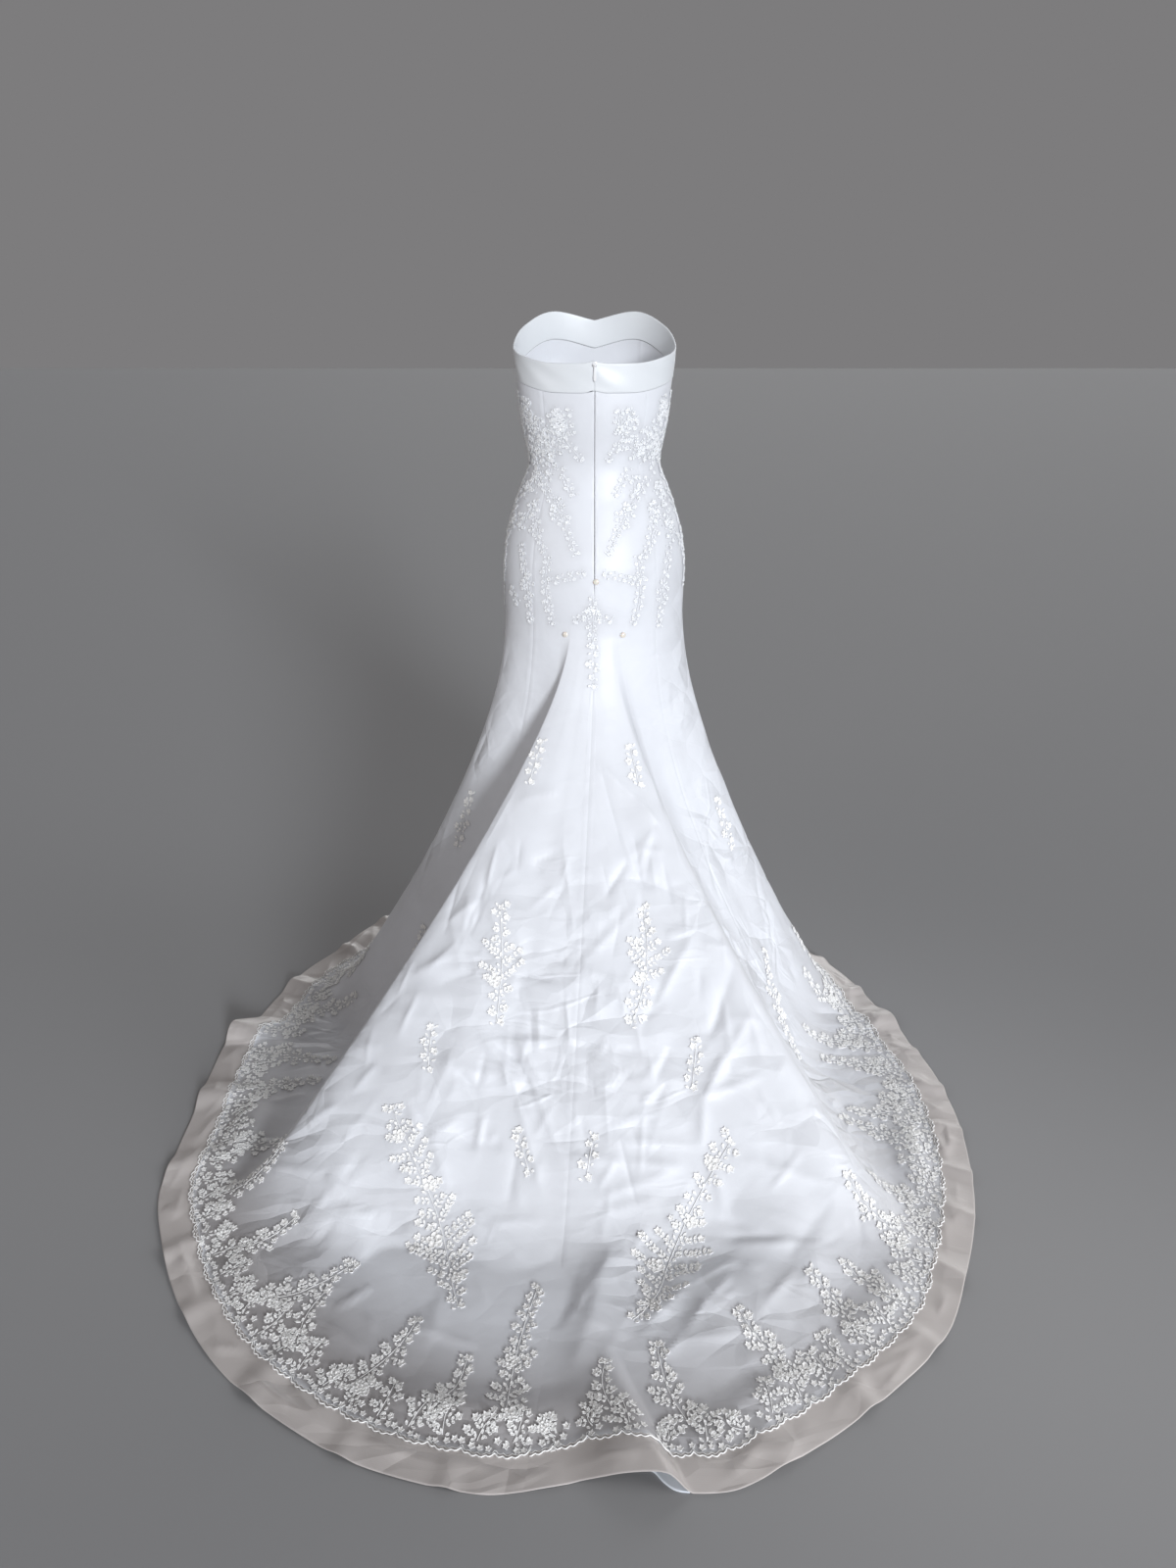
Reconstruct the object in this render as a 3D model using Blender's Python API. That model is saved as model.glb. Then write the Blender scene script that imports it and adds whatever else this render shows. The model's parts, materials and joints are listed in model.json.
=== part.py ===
"""Strapless trumpet wedding gown with a chapel train, in the hollow form it is worn in.

The cloth is one surface of meridians. Each meridian runs from the folded band at the
top, down the fitted body to the knee ring, then out over the skirt to the floor and
along the floor to the hem. Panels, band, lace and zip are all cut from that surface.

Frame: metres, +Z up, the wearer faces -Y, +X is the wearer's left, the train lies
towards +Y. The origin is the centre of the waist. Heights in the tables are above
the floor, because that is how a gown is measured.
"""
import math

import bmesh
import bpy
import numpy as np
from mathutils import Matrix, Vector
from mathutils.bvhtree import BVHTree

# ---------------------------------------------------------------- driving sizes
WAIST_HEIGHT = 1.127        # the origin's height above the floor
KNEE_HEIGHT = 0.82          # where the fitted body ends and the skirt begins
WALL = 0.0020               # satin, net and lining worn as one wall
BAND_WALL = 0.0030          # the band is folded, so it is thicker
BAND_HEIGHT = 0.049
BAND_LIFT = 0.0009          # the band's middle lies this far outside the panels'
GAP = 0.0003                # between neighbouring pieces
SKIRT_POLE_Y = 0.30         # hem azimuths are measured about the point (0, 0.30)
FLOOR_ROWS = (0.0, 0.04, 0.085, 0.16, 0.25)   # distances up from the hem
SKIRT_ROWS = 12             # cells from the knee ring to the hem
BODY_ROWS = 10              # cells from the band to the knee ring
STEP = 0.006                # spacing of the dense points along a meridian
FLAT_ANGLE = 0.12           # degrees; flatter neighbours share one face in cut lace

# Body sections: height, half width, back depth, front depth.
BODY = (
    (1.400, 0.150, 0.088, 0.120),
    (1.320, 0.142, 0.090, 0.118),
    (1.250, 0.1357, 0.092, 0.118),
    (1.196, 0.1294, 0.090, 0.108),
    (1.162, 0.1221, 0.086, 0.098),
    (1.127, 0.1176, 0.083, 0.092),
    (1.0825, 0.1336, 0.090, 0.100),
    (1.0475, 0.1467, 0.102, 0.106),
    (1.0115, 0.1584, 0.114, 0.110),
    (0.9766, 0.1654, 0.124, 0.113),
    (0.940, 0.1694, 0.131, 0.114),
    (0.884, 0.1700, 0.133, 0.114),
    (0.850, 0.1684, 0.130, 0.113),
    (0.818, 0.1680, 0.126, 0.112),
    (0.770, 0.1690, 0.123, 0.113),
)
CUP_AZIMUTH, CUP_HEIGHT = 142.0, 1.288      # the centre of each bust cup
CUP_WIDTH, CUP_TALL, CUP_DEPTH = 21.0, 0.052, 0.017

# Top edge: azimuth from the centre back, height of the band's upper edge.
TOP_EDGE = (
    (0.0, 1.3085), (9.0, 1.3050), (30.0, 1.3045), (60.0, 1.3130), (90.0, 1.3260),
    (120.0, 1.3560), (150.0, 1.3780), (180.0, 1.3620),
)

# Where the meridian of a body azimuth meets the hem: body azimuth, hem azimuth.
AZIMUTHS = (
    (-180.0, -180.0), (-90.0, -128.0), (-42.0, -92.0), (-6.0, -46.0), (0.0, 6.0),
    (9.0, 58.0), (42.0, 97.0), (90.0, 128.0), (180.0, 180.0),
)

# Hem on the floor: azimuth about the pole, radius.
HEM = (
    (-180.0, 0.790), (-169.0, 0.765), (-157.0, 0.738), (-145.0, 0.696),
    (-131.2, 0.644), (-121.9, 0.641), (-115.5, 0.638), (-108.0, 0.634),
    (-102.9, 0.645), (-96.5, 0.645), (-89.9, 0.661), (-83.9, 0.675), (-78.9, 0.688),
    (-68.5, 0.718), (-56.3, 0.763), (-47.4, 0.799), (-38.0, 0.846), (-27.2, 0.874),
    (-15.8, 0.912), (-10.8, 0.928), (-7.5, 0.922), (-4.8, 0.908), (0.8, 0.898),
    (4.0, 0.909), (9.7, 0.928), (18.3, 0.931), (27.5, 0.921), (37.3, 0.905),
    (45.2, 0.885), (56.1, 0.853), (63.7, 0.833), (70.2, 0.797), (78.9, 0.765),
    (89.3, 0.752), (98.0, 0.750), (102.5, 0.718), (111.5, 0.720), (119.3, 0.726),
    (125.4, 0.723), (135.2, 0.747), (146.0, 0.771), (157.7, 0.785), (169.0, 0.789),
)

# Skirt folds: hem azimuth, radius where the cloth meets the floor, how far the
# meridian hangs straight before it swings out (1 is a straight line).
FOLDS = (
    (-180.0, 0.750, 1.30), (-165.0, 0.690, 1.55), (-150.0, 0.690, 1.25),
    (-137.0, 0.600, 1.60), (-120.5, 0.585, 1.36), (-113.0, 0.545, 1.45),
    (-100.0, 0.455, 1.65), (-83.0, 0.425, 1.75), (-68.0, 0.470, 1.70),
    (-58.0, 0.545, 1.60), (-51.0, 0.635, 1.52), (-46.0, 0.675, 1.48),
    (-38.0, 0.610, 1.42), (-20.0, 0.512, 1.38), (6.0, 0.485, 1.36),
    (24.0, 0.515, 1.34), (40.0, 0.600, 1.33), (52.0, 0.680, 1.33),
    (58.0, 0.705, 1.33), (63.0, 0.640, 1.42), (74.0, 0.490, 1.70),
    (88.0, 0.430, 1.85), (101.0, 0.480, 1.65), (112.0, 0.590, 1.46),
    (119.0, 0.622, 1.42), (131.0, 0.600, 1.60), (150.0, 0.735, 1.25),
    (165.0, 0.710, 1.55),
)

# Waves that lift the hem: hem azimuth, half widths in degrees towards the wearer's
# left and right, height, reach inwards, lean in degrees per metre of reach.
HEM_WAVES = (
    (-5.6, 9.0, 2.4, 0.031, 0.26, 22.0),
    (98.5, 5.0, 4.6, 0.020, 0.12, 0.0),
    (-103.5, 4.6, 6.0, 0.013, 0.10, 0.0),
)

# Panels: place, body azimuths of the two seams, columns on the body and on the skirt.
PANELS = (
    ("back_left", 0.0, 42.0, 5, 20),
    ("side_back_left", 42.0, 92.0, 4, 12),
    ("front_side_left", 92.0, 144.0, 4, 8),
    ("front_center", 144.0, 216.0, 6, 12),
    ("front_side_right", 216.0, 268.0, 4, 8),
    ("side_back_right", 268.0, 318.0, 4, 12),
    ("back_right", 318.0, 360.0, 5, 21),
)

# Where skirt columns crowd together: hem azimuth, width in degrees, extra weight.
CROWDING = ((58.0, 7.0, 1.2), (-46.0, 7.0, 1.0), (-5.0, 6.0, 2.2), (119.0, 8.0, 0.8),
            (-120.5, 8.0, 0.8))

# The band's three pieces: place, first and last panel seam that they span.
BANDS = (("back_left", 0, 2), ("front", 2, 5), ("back_right", 5, 7))
BAND_ROWS = 2

# Lace border: it ends this far from the hem, in scallops.
LACE_WALL = 0.0014
LACE_EDGE = 0.057
SCALLOP_PITCH, SCALLOP_DEPTH = 0.062, 0.012
LACE_BASE = 0.135           # the border's plain inner edge, from the hem
LACE_HOLE_PITCH, LACE_HOLE_RADIUS, LACE_HOLE_LINE = 0.110, 0.0110, 0.098
LACE_HOLE_MARGIN = 2.2      # degrees between a seam and the first hole's centre
OUTLINE_MARGIN = 14.0       # degrees that the border's outline runs past a panel
LEAF_NOTCH, LEAF_RIGHT = 0.42, 0.95     # notches and right leaves, as shares of the reach
STEM_START, STEM_SWELL = 0.12, 0.80     # the half turn of sine that a spray's width follows
PLAN_CUT, SPRAY_CUT = 0.6, 0.045        # how far the cutting prisms reach to each side
CENTER_ZONE = 6.0           # sprays within this azimuth lie across the centre back seam
# Branches that grow inwards from the border: hem azimuth, lean of the tip in degrees,
# distance of the tip from the hem, half width in degrees.
BRANCHES = (
    (-176.0, 2.0, 0.215, 2.6), (-166.0, -2.0, 0.190, 2.2), (-148.0, 2.0, 0.230, 2.6),
    (-136.0, -1.0, 0.200, 2.4), (-121.0, 3.0, 0.215, 2.6), (-109.0, -2.0, 0.190, 2.4),
    (-99.0, 2.0, 0.225, 2.6), (-88.0, -2.0, 0.205, 2.4), (-76.0, 3.0, 0.200, 2.6),
    (-66.0, -3.0, 0.225, 2.6), (-56.0, 2.0, 0.190, 2.2), (-47.0, 2.0, 0.250, 2.4),
    (-38.5, 1.5, 0.190, 2.0), (-30.5, -1.0, 0.215, 2.2), (-22.0, 3.0, 0.235, 2.4),
    (-9.0, 1.5, 0.230, 2.4), (-1.5, 0.5, 0.180, 1.8), (8.8, 0.2, 0.345, 2.4),
    (16.0, -1.0, 0.200, 1.8), (25.0, -2.0, 0.235, 2.2), (33.0, 3.0, 0.190, 2.0),
    (40.5, -4.0, 0.255, 2.4), (50.0, -1.5, 0.215, 2.2), (60.0, -2.0, 0.240, 2.4),
    (70.0, -4.0, 0.265, 2.6), (82.0, 2.0, 0.215, 2.6), (94.0, -3.0, 0.230, 2.6),
    (106.0, 2.0, 0.200, 2.4), (118.0, -2.0, 0.215, 2.6), (131.0, 3.0, 0.195, 2.4),
    (143.0, -2.0, 0.230, 2.6), (152.0, 1.0, 0.200, 2.4), (170.0, -3.0, 0.215, 2.4),
)

# Lace sprays on the skirt: name, hem azimuth and distance from the hem at the head and
# at the foot, how far the stem bows to its left, reach of the leaves, pairs of leaves.
SKIRT_SPRAYS = (
    ("spray_train_left", 44.0, 0.470, 19.0, 0.285, -0.030, 0.050, 6),
    ("spray_train_right", -29.5, 0.475, -5.0, 0.265, 0.035, 0.050, 6),
    ("spray_middle_left", 39.5, 0.885, 30.0, 0.735, -0.010, 0.034, 4),
    ("spray_middle_right", -22.5, 0.935, -11.0, 0.785, -0.012, 0.034, 4),
    ("spray_upper_left", 52.5, 1.115, 49.0, 1.060, 0.0, 0.017, 2),
    ("spray_upper_right", -38.5, 1.145, -37.0, 1.080, 0.0, 0.018, 2),
    ("spray_gore_left", 109.0, 0.710, 106.0, 0.630, 0.0, 0.018, 2),
    ("spray_gore_right", -110.0, 0.630, -108.0, 0.540, 0.0, 0.018, 2),
    ("spray_fold_left", 103.0, 0.470, 92.0, 0.330, 0.010, 0.026, 4),
    ("spray_fold_right", -101.0, 0.380, -82.0, 0.290, 0.010, 0.026, 4),
    ("spray_small_left", 44.0, 0.620, 41.0, 0.570, 0.0, 0.018, 2),
    ("spray_small_right", -29.0, 0.655, -25.0, 0.600, 0.0, 0.018, 2),
    ("spray_low_left", 18.5, 0.600, 14.5, 0.540, 0.0, 0.016, 2),
    ("spray_low_right", 0.5, 0.575, 2.0, 0.515, 0.0, 0.016, 2),
    ("spray_front_left", 152.0, 0.560, 148.0, 0.440, 0.010, 0.028, 3),
    ("spray_front_right", -152.0, 0.540, -148.0, 0.420, -0.010, 0.028, 3),
)
# Lace sprays on the body: name, body azimuth and height at the head and at the foot,
# how far the stem bows to its left, reach of the leaves, pairs of leaves.
BODY_SPRAYS = (
    ("spray_bodice_left", 20.0, 1.225, 50.0, 1.140, -0.016, 0.030, 3),
    ("spray_bodice_right", -18.0, 1.225, -50.0, 1.140, 0.016, 0.030, 3),
    ("spray_side_left", 82.0, 1.215, 76.0, 0.940, 0.010, 0.026, 5),
    ("spray_side_right", -82.0, 1.215, -78.0, 0.940, -0.010, 0.026, 5),
    ("spray_hip_left", 52.0, 1.105, 12.0, 0.985, -0.016, 0.020, 4),
    ("spray_hip_right", -50.0, 1.105, -9.0, 0.985, 0.016, 0.020, 4),
    ("spray_vine_left", 30.0, 0.975, 27.0, 0.855, 0.008, 0.016, 3),
    ("spray_vine_right", -28.0, 0.975, -25.0, 0.855, -0.008, 0.016, 3),
    ("spray_center_back", 1.5, 0.905, 1.5, 0.815, 0.0, 0.016, 2),
    ("spray_front_hip_left", 122.0, 1.100, 158.0, 0.985, 0.014, 0.024, 4),
    ("spray_front_hip_right", -122.0, 1.100, -158.0, 0.985, -0.014, 0.024, 4),
)

# Pearl buttons that hold the train up when it is bustled: body azimuth, height.
BUTTONS = (("bustle_button_center", -1.0, 0.934), ("bustle_button_left", 17.0, 0.834),
           ("bustle_button_right", -17.0, 0.833))
BUTTON_RADIUS, BUTTON_HEIGHT, BUTTON_SIDES = 0.0055, 0.0045, 12

# Concealed zip behind the centre back seam.
ZIP_TOP, ZIP_END = 1.3010, 0.910
COIL_WIDTH, COIL_THICK, COIL_DEPTH = 0.0060, 0.0012, 0.0022
SLIDER_TOP_DROP = 0.0010    # the slider stands this far below the band's upper edge
SLIDER_WIDTH, SLIDER_TALL, SLIDER_THICK = 0.0064, 0.0100, 0.0015
EAR_THICK, EAR_INNER = 0.0012, 0.0020
EAR_HALF, EAR_BEYOND_PIN = 0.0017, 0.0014
KNUCKLE_CLEAR = 0.0004      # between the slider's face and the tab's knuckle
PIN_RADIUS, BORE_RADIUS, KNUCKLE_RADIUS, KNUCKLE_HALF = 0.0007, 0.0011, 0.0021, 0.0016
# The pull tab's outline below its knuckle: drop, half width.
TAB = ((0.0010, 0.0014), (0.0040, 0.0014), (0.0100, 0.0019), (0.0200, 0.0026),
       (0.0245, 0.0022), (0.0265, 0.0011))
TAB_THICK = 0.0012

# Lining where it shows below the lifted hem: hem azimuth, outer and inner radius.
LINING_EDGE = ((-7.6, 0.9210, 0.912), (-7.0, 0.9190, 0.895), (-6.4, 0.9150, 0.872),
               (-5.6, 0.9030, 0.850), (-4.8, 0.8860, 0.835), (-3.6, 0.8780, 0.830),
               (-2.6, 0.8740, 0.830))
LINING_WALL = 0.0012

# ---------------------------------------------------------------- materials
SATIN = ("satin", (0.86, 0.87, 0.89, 1.0), 0.38, 0.0)
BAND_SATIN = ("band_satin", (0.90, 0.90, 0.92, 1.0), 0.30, 0.0)
LACE = ("corded_lace", (0.90, 0.89, 0.88, 1.0), 0.62, 0.0)
LINING = ("lining", (0.80, 0.85, 0.92, 1.0), 0.50, 0.0)
ZIP_TAPE = ("zip_tape", (0.88, 0.88, 0.88, 1.0), 0.55, 0.0)
ZIP_METAL = ("zip_enamel", (0.86, 0.86, 0.87, 1.0), 0.25, 0.3)
PEARL = ("pearl", (0.84, 0.81, 0.77, 1.0), 0.18, 0.0)


# ---------------------------------------------------------------- curves
def smooth_curve(rows, column, query, period=None):
    """Monotone cubic through a table's column against its first column."""
    x = np.array([row[0] for row in rows], dtype=float)
    y = np.array([row[column] for row in rows], dtype=float)
    order = np.argsort(x)
    x, y = x[order], y[order]
    query = np.asarray(query, dtype=float)
    if period:
        query = (query - x[0]) % period + x[0]
        x = np.concatenate((x[-2:] - period, x, x[:2] + period))
        y = np.concatenate((y[-2:], y, y[:2]))
    width = np.diff(x)
    slope = np.diff(y) / width
    tangent = np.zeros_like(y)
    same = slope[1:] * slope[:-1] > 0
    mean = 2.0 * slope[1:] * slope[:-1] / np.where(same, slope[1:] + slope[:-1], 1.0)
    tangent[1:-1] = np.where(same, mean, 0.0)
    tangent[0], tangent[-1] = slope[0], slope[-1]
    cell = np.clip(np.searchsorted(x, query, side="right") - 1, 0, len(x) - 2)
    t = (query - x[cell]) / width[cell]
    t2, t3 = t * t, t * t * t
    return ((2 * t3 - 3 * t2 + 1) * y[cell] + (t3 - 2 * t2 + t) * width[cell] * tangent[cell]
            + (-2 * t3 + 3 * t2) * y[cell + 1] + (t3 - t2) * width[cell] * tangent[cell + 1])


def wrap(angle):
    """An azimuth in degrees brought into -180 to 180."""
    return (np.asarray(angle, dtype=float) + 180.0) % 360.0 - 180.0


def hump(distance, width):
    """A soft hump, 1 at distance 0 and nothing beyond twice the width."""
    reach = np.clip(np.abs(distance) / (2.0 * width), 0.0, 1.0)
    return 0.5 + 0.5 * np.cos(math.pi * reach)


def ring(azimuth, height):
    """Plan position of the fitted body at an azimuth from the centre back."""
    half = smooth_curve(BODY, 1, height)
    back = smooth_curve(BODY, 2, height)
    front = smooth_curve(BODY, 3, height)
    turn = np.radians(azimuth)
    depth = np.where(np.cos(turn) > 0.0, back, front)
    cup = (CUP_DEPTH * np.exp(-((np.abs(wrap(azimuth)) - CUP_AZIMUTH) / CUP_WIDTH) ** 2)
           * np.exp(-((height - CUP_HEIGHT) / CUP_TALL) ** 2))
    x = (half + 0.3 * cup) * np.sin(turn)
    y = (depth + cup) * np.cos(turn)
    return x, y


def floor_point(azimuth, radius):
    """Plan position at a hem azimuth and a radius about the skirt's pole."""
    turn = np.radians(azimuth)
    return radius * np.sin(turn), SKIRT_POLE_Y + radius * np.cos(turn)


def top_height(azimuth):
    """Height of the band's upper edge at a body azimuth."""
    return smooth_curve(TOP_EDGE, 1, np.abs(wrap(azimuth)))


def body_azimuth(hem_azimuth):
    """Body azimuth at the knee ring of the meridian that ends at a hem azimuth."""
    swapped = [(row[1], row[0]) for row in AZIMUTHS]
    return smooth_curve(swapped, 1, wrap(hem_azimuth))


def hem_azimuth_of(azimuth):
    """Hem azimuth of the meridian that leaves the body at an azimuth."""
    return smooth_curve(AZIMUTHS, 1, wrap(azimuth))


def resample(points, count_or_step):
    """A polyline with evenly spaced points."""
    run = np.concatenate(([0.0], np.cumsum(np.linalg.norm(np.diff(points, axis=0), axis=1))))
    count = count_or_step if isinstance(count_or_step, int) else int(run[-1] / count_or_step) + 1
    marks = np.linspace(0.0, run[-1], count)
    return np.stack([np.interp(marks, run, points[:, axis]) for axis in range(3)], axis=1)


def soften(points, width):
    """A polyline rounded over a length of cloth, its ends kept."""
    reach = int(3 * width / STEP)
    before = 2 * points[0] - points[reach:0:-1]
    after = 2 * points[-1] - points[-2:-reach - 2:-1]
    padded = np.concatenate((before, points, after))
    kernel = np.exp(-0.5 * (np.arange(-reach, reach + 1) * STEP / width) ** 2)
    kernel /= kernel.sum()
    return np.stack([np.convolve(padded[:, axis], kernel, mode="valid") for axis in range(3)],
                    axis=1)


def skirt_meridian(hem_azimuth):
    """Dense middle line of the cloth from above the knee ring to the hem."""
    azimuth = float(body_azimuth(hem_azimuth))
    lead = np.linspace(KNEE_HEIGHT + 0.12, KNEE_HEIGHT, 20, endpoint=False)
    lead_x, lead_y = ring(azimuth, lead)
    knee_x, knee_y = ring(azimuth, KNEE_HEIGHT)
    touch = float(smooth_curve(FOLDS, 1, hem_azimuth, 360.0))
    hang = float(smooth_curve(FOLDS, 2, hem_azimuth, 360.0))
    hem = float(smooth_curve(HEM, 1, hem_azimuth, 360.0))
    touch_x, touch_y = floor_point(hem_azimuth, min(touch, hem - 0.015))
    hem_x, hem_y = floor_point(hem_azimuth, hem)
    drop = np.linspace(0.0, 1.0, 60)
    out = drop ** hang
    fall = np.stack((knee_x + (touch_x - knee_x) * out, knee_y + (touch_y - knee_y) * out,
                     KNEE_HEIGHT * (1.0 - drop)), axis=1)
    line = np.concatenate((np.stack((lead_x, lead_y, lead), axis=1), fall,
                           [[hem_x, hem_y, 0.0]]))
    line = soften(resample(line, STEP), 0.035)
    line = line[line[:, 2] <= KNEE_HEIGHT + STEP]
    run = np.concatenate(([0.0], np.cumsum(np.linalg.norm(np.diff(line, axis=0), axis=1))))
    from_hem = run[-1] - run
    for centre, left, right, height, reach, lean in HEM_WAVES:
        off = wrap(hem_azimuth - centre - lean * from_hem)
        side = hump(off, 0.5 * np.where(off > 0.0, left, right))
        line[:, 2] += height * side * hump(from_hem, 0.5 * reach)
    line[:, 2] = np.maximum(line[:, 2], 0.5 * WALL)
    return line


def row_points(line):
    """The skirt's rows on a dense meridian, from the knee ring down to the hem."""
    run = np.concatenate(([0.0], np.cumsum(np.linalg.norm(np.diff(line, axis=0), axis=1))))
    start = float(np.interp(-KNEE_HEIGHT, -line[:, 2], run))
    lower = run[-1] - np.array(FLOOR_ROWS[::-1])
    upper = np.linspace(start, lower[0], SKIRT_ROWS + 1 - len(FLOOR_ROWS), endpoint=False)
    marks = np.concatenate((upper, lower))
    return np.stack([np.interp(marks, run, line[:, axis]) for axis in range(3)], axis=1)


def body_points(top_azimuth, knee_azimuth, rows=BODY_ROWS):
    """The body's rows in one column, from under the band to above the knee ring."""
    top = float(top_height(top_azimuth)) - BAND_HEIGHT - GAP
    heights = np.linspace(top, KNEE_HEIGHT, rows + 1)[:-1]
    ease = np.clip((1.0 - heights) / (1.0 - KNEE_HEIGHT), 0.0, 1.0)
    ease = ease * ease * (3.0 - 2.0 * ease)
    azimuth = top_azimuth + wrap(knee_azimuth - top_azimuth) * ease
    x, y = ring(azimuth, heights)
    return np.stack((x, y, heights), axis=1)


def spread(first, last, count):
    """Hem azimuths from one seam to the next, closer together where folds are sharp."""
    fine = np.linspace(first, last, 400)
    weight = np.ones_like(fine)
    for centre, width, extra in CROWDING:
        weight += extra * np.exp(-(wrap(fine - centre) / width) ** 2)
    total = np.concatenate(([0.0], np.cumsum(0.5 * (weight[1:] + weight[:-1]))))
    return np.interp(np.linspace(0.0, total[-1], count + 1), total, fine)


# ---------------------------------------------------------------- the whole cloth
class Cloth:
    """The gown's middle surface as rows of columns, with its normals.

    The body has fewer columns than the skirt; `fan` gives the skirt column that each
    body column runs into.
    """

    def __init__(self):
        self.body_azimuths, self.hem_azimuths = [], []
        self.seams, self.fan = [0], []
        for _, first, last, body_count, skirt_count in PANELS:
            hem_first = float(hem_azimuth_of(first)) % 360.0
            hem_last = hem_first + (float(hem_azimuth_of(last)) - hem_first) % 360.0
            start = len(self.hem_azimuths)
            self.fan += [start + round(j * skirt_count / body_count) for j in range(body_count)]
            self.body_azimuths += list(np.linspace(first, last, body_count + 1)[:-1])
            self.hem_azimuths += list(spread(hem_first, hem_last, skirt_count)[:-1])
            self.seams.append(self.seams[-1] + body_count)
        self.fan.append(len(self.hem_azimuths))
        self.rows = self._rows()
        self.normals = self._normals()
        self.tree = BVHTree.FromPolygons(np.concatenate(self.rows).tolist(),
                                         cells(self.rows, self.fan))

    def facet(self, azimuth, height):
        """Point and normal of the faceted cloth at a body azimuth and a height."""
        x, y = ring(azimuth, height)
        outward = Vector((float(x), float(y), 0.0)).normalized()
        start = Vector((0.0, 0.0, height)) + outward
        point, normal, _, _ = self.tree.ray_cast(start, -outward)
        return np.array(point), np.array(normal)

    def azimuth(self, column):
        """Body azimuth of a column; the last one is the first again."""
        turns = self.body_azimuths + [360.0]
        return turns[column]

    def hem_azimuth(self, column):
        """Hem azimuth of a body column, from 6 to 366 degrees."""
        if column == len(self.body_azimuths):
            return self.hem_azimuths[0] + 360.0
        return self.hem_azimuths[self.fan[column]]

    def _rows(self):
        body = [body_points(azimuth, body_azimuth(self.hem_azimuth(column)))
                for column, azimuth in enumerate(self.body_azimuths)]
        skirt = [row_points(skirt_meridian(h)) for h in self.hem_azimuths]
        rows = [np.array([column[r] for column in body]) for r in range(BODY_ROWS)]
        rows += [np.array([column[r] for column in skirt]) for r in range(SKIRT_ROWS + 1)]
        return [np.concatenate((row, row[:1])) for row in rows]

    def _normals(self):
        points = np.concatenate(self.rows)
        normals = np.zeros_like(points)
        for a, b, c in cells(self.rows, self.fan):
            normal = np.cross(points[b] - points[a], points[c] - points[a])
            for corner in (a, b, c):
                normals[corner] += normal
        split = np.cumsum([len(row) for row in self.rows])[:-1]
        normals = np.split(normals, split)
        for row in normals:
            row[0] += row[-1]
            row[-1] = row[0]
            row /= np.linalg.norm(row, axis=1)[:, None]
        return normals

    def part(self, first, last, inset=0.5 * GAP, rows_from=0):
        """A patch between two body columns, set in at both edges."""
        around = len(self.body_azimuths)
        turns = len(self.hem_azimuths)
        skirt = [self.fan[j % around] + (j // around) * turns for j in range(first, last + 1)]
        rows, normals = [], []
        for index in range(rows_from, len(self.rows)):
            if index < BODY_ROWS:
                pick = np.arange(first, last + 1) % around
            else:
                pick = np.arange(skirt[0], skirt[-1] + 1) % turns
            piece = self.rows[index][pick].copy()
            for edge, inner in ((0, 1), (-1, -2)):
                along = piece[inner] - piece[edge]
                piece[edge] += along / np.linalg.norm(along) * inset
            rows.append(piece)
            normals.append(self.normals[index][pick])
        return rows, normals, [column - skirt[0] for column in skirt]


def cells(rows, fan=None):
    """Triangles between rows of points; `fan` leads from a short row to a longer one."""
    faces, start = [], 0
    for upper, lower in zip(rows[:-1], rows[1:]):
        top, low = start, start + len(upper)
        if len(upper) == len(lower):
            for j in range(len(upper) - 1):
                faces.append((top + j, low + j + 1, low + j))
                faces.append((top + j, top + j + 1, low + j + 1))
        else:
            for j in range(len(upper) - 1):
                middle = (fan[j] + fan[j + 1]) // 2
                faces += [(top + j, low + k + 1, low + k) for k in range(fan[j], middle)]
                faces.append((top + j, top + j + 1, low + middle))
                faces += [(top + j + 1, low + k + 1, low + k) for k in range(middle, fan[j + 1])]
        start += len(upper)
    return faces


def rim(rows):
    """The boundary of a patch of rows, in the order that its faces run."""
    starts = np.concatenate(([0], np.cumsum([len(row) for row in rows])))
    count = len(rows)
    left = [int(starts[r]) for r in range(count)]
    bottom = [int(starts[count - 1]) + j for j in range(1, len(rows[-1]))]
    right = [int(starts[r + 1]) - 1 for r in range(count - 2, -1, -1)]
    top = [j for j in range(len(rows[0]) - 2, 0, -1)]
    return (left + bottom + right + top)[::-1]


# ---------------------------------------------------------------- objects
def material(finish):
    """The material of a finish, made once."""
    name, color, roughness, metallic = finish
    found = bpy.data.materials.get(name)
    if found:
        return found
    made = bpy.data.materials.new(name)
    made.use_nodes = True
    shader = made.node_tree.nodes["Principled BSDF"]
    shader.inputs["Base Color"].default_value = color
    shader.inputs["Roughness"].default_value = roughness
    shader.inputs["Metallic"].default_value = metallic
    made.diffuse_color = color
    return made


def add_object(name, points, faces, finish, smooth=True):
    """A mesh object from points given as heights above the floor."""
    mesh = bpy.data.meshes.new(name)
    shifted = np.array(points, dtype=float) - np.array((0.0, 0.0, WAIST_HEIGHT))
    mesh.from_pydata(shifted.tolist(), [], [tuple(face) for face in faces])
    mesh.update()
    if smooth:
        mesh.shade_smooth()
        mesh.set_sharp_from_angle(angle=math.radians(40.0))
    thing = bpy.data.objects.new(name, mesh)
    thing.data.materials.append(material(finish))
    bpy.context.scene.collection.objects.link(thing)
    return thing


def set_finish(thing, finish):
    """Give an object one material in place of those its cuts left on it."""
    thing.data.materials.clear()
    thing.data.materials.append(material(finish))


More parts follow.
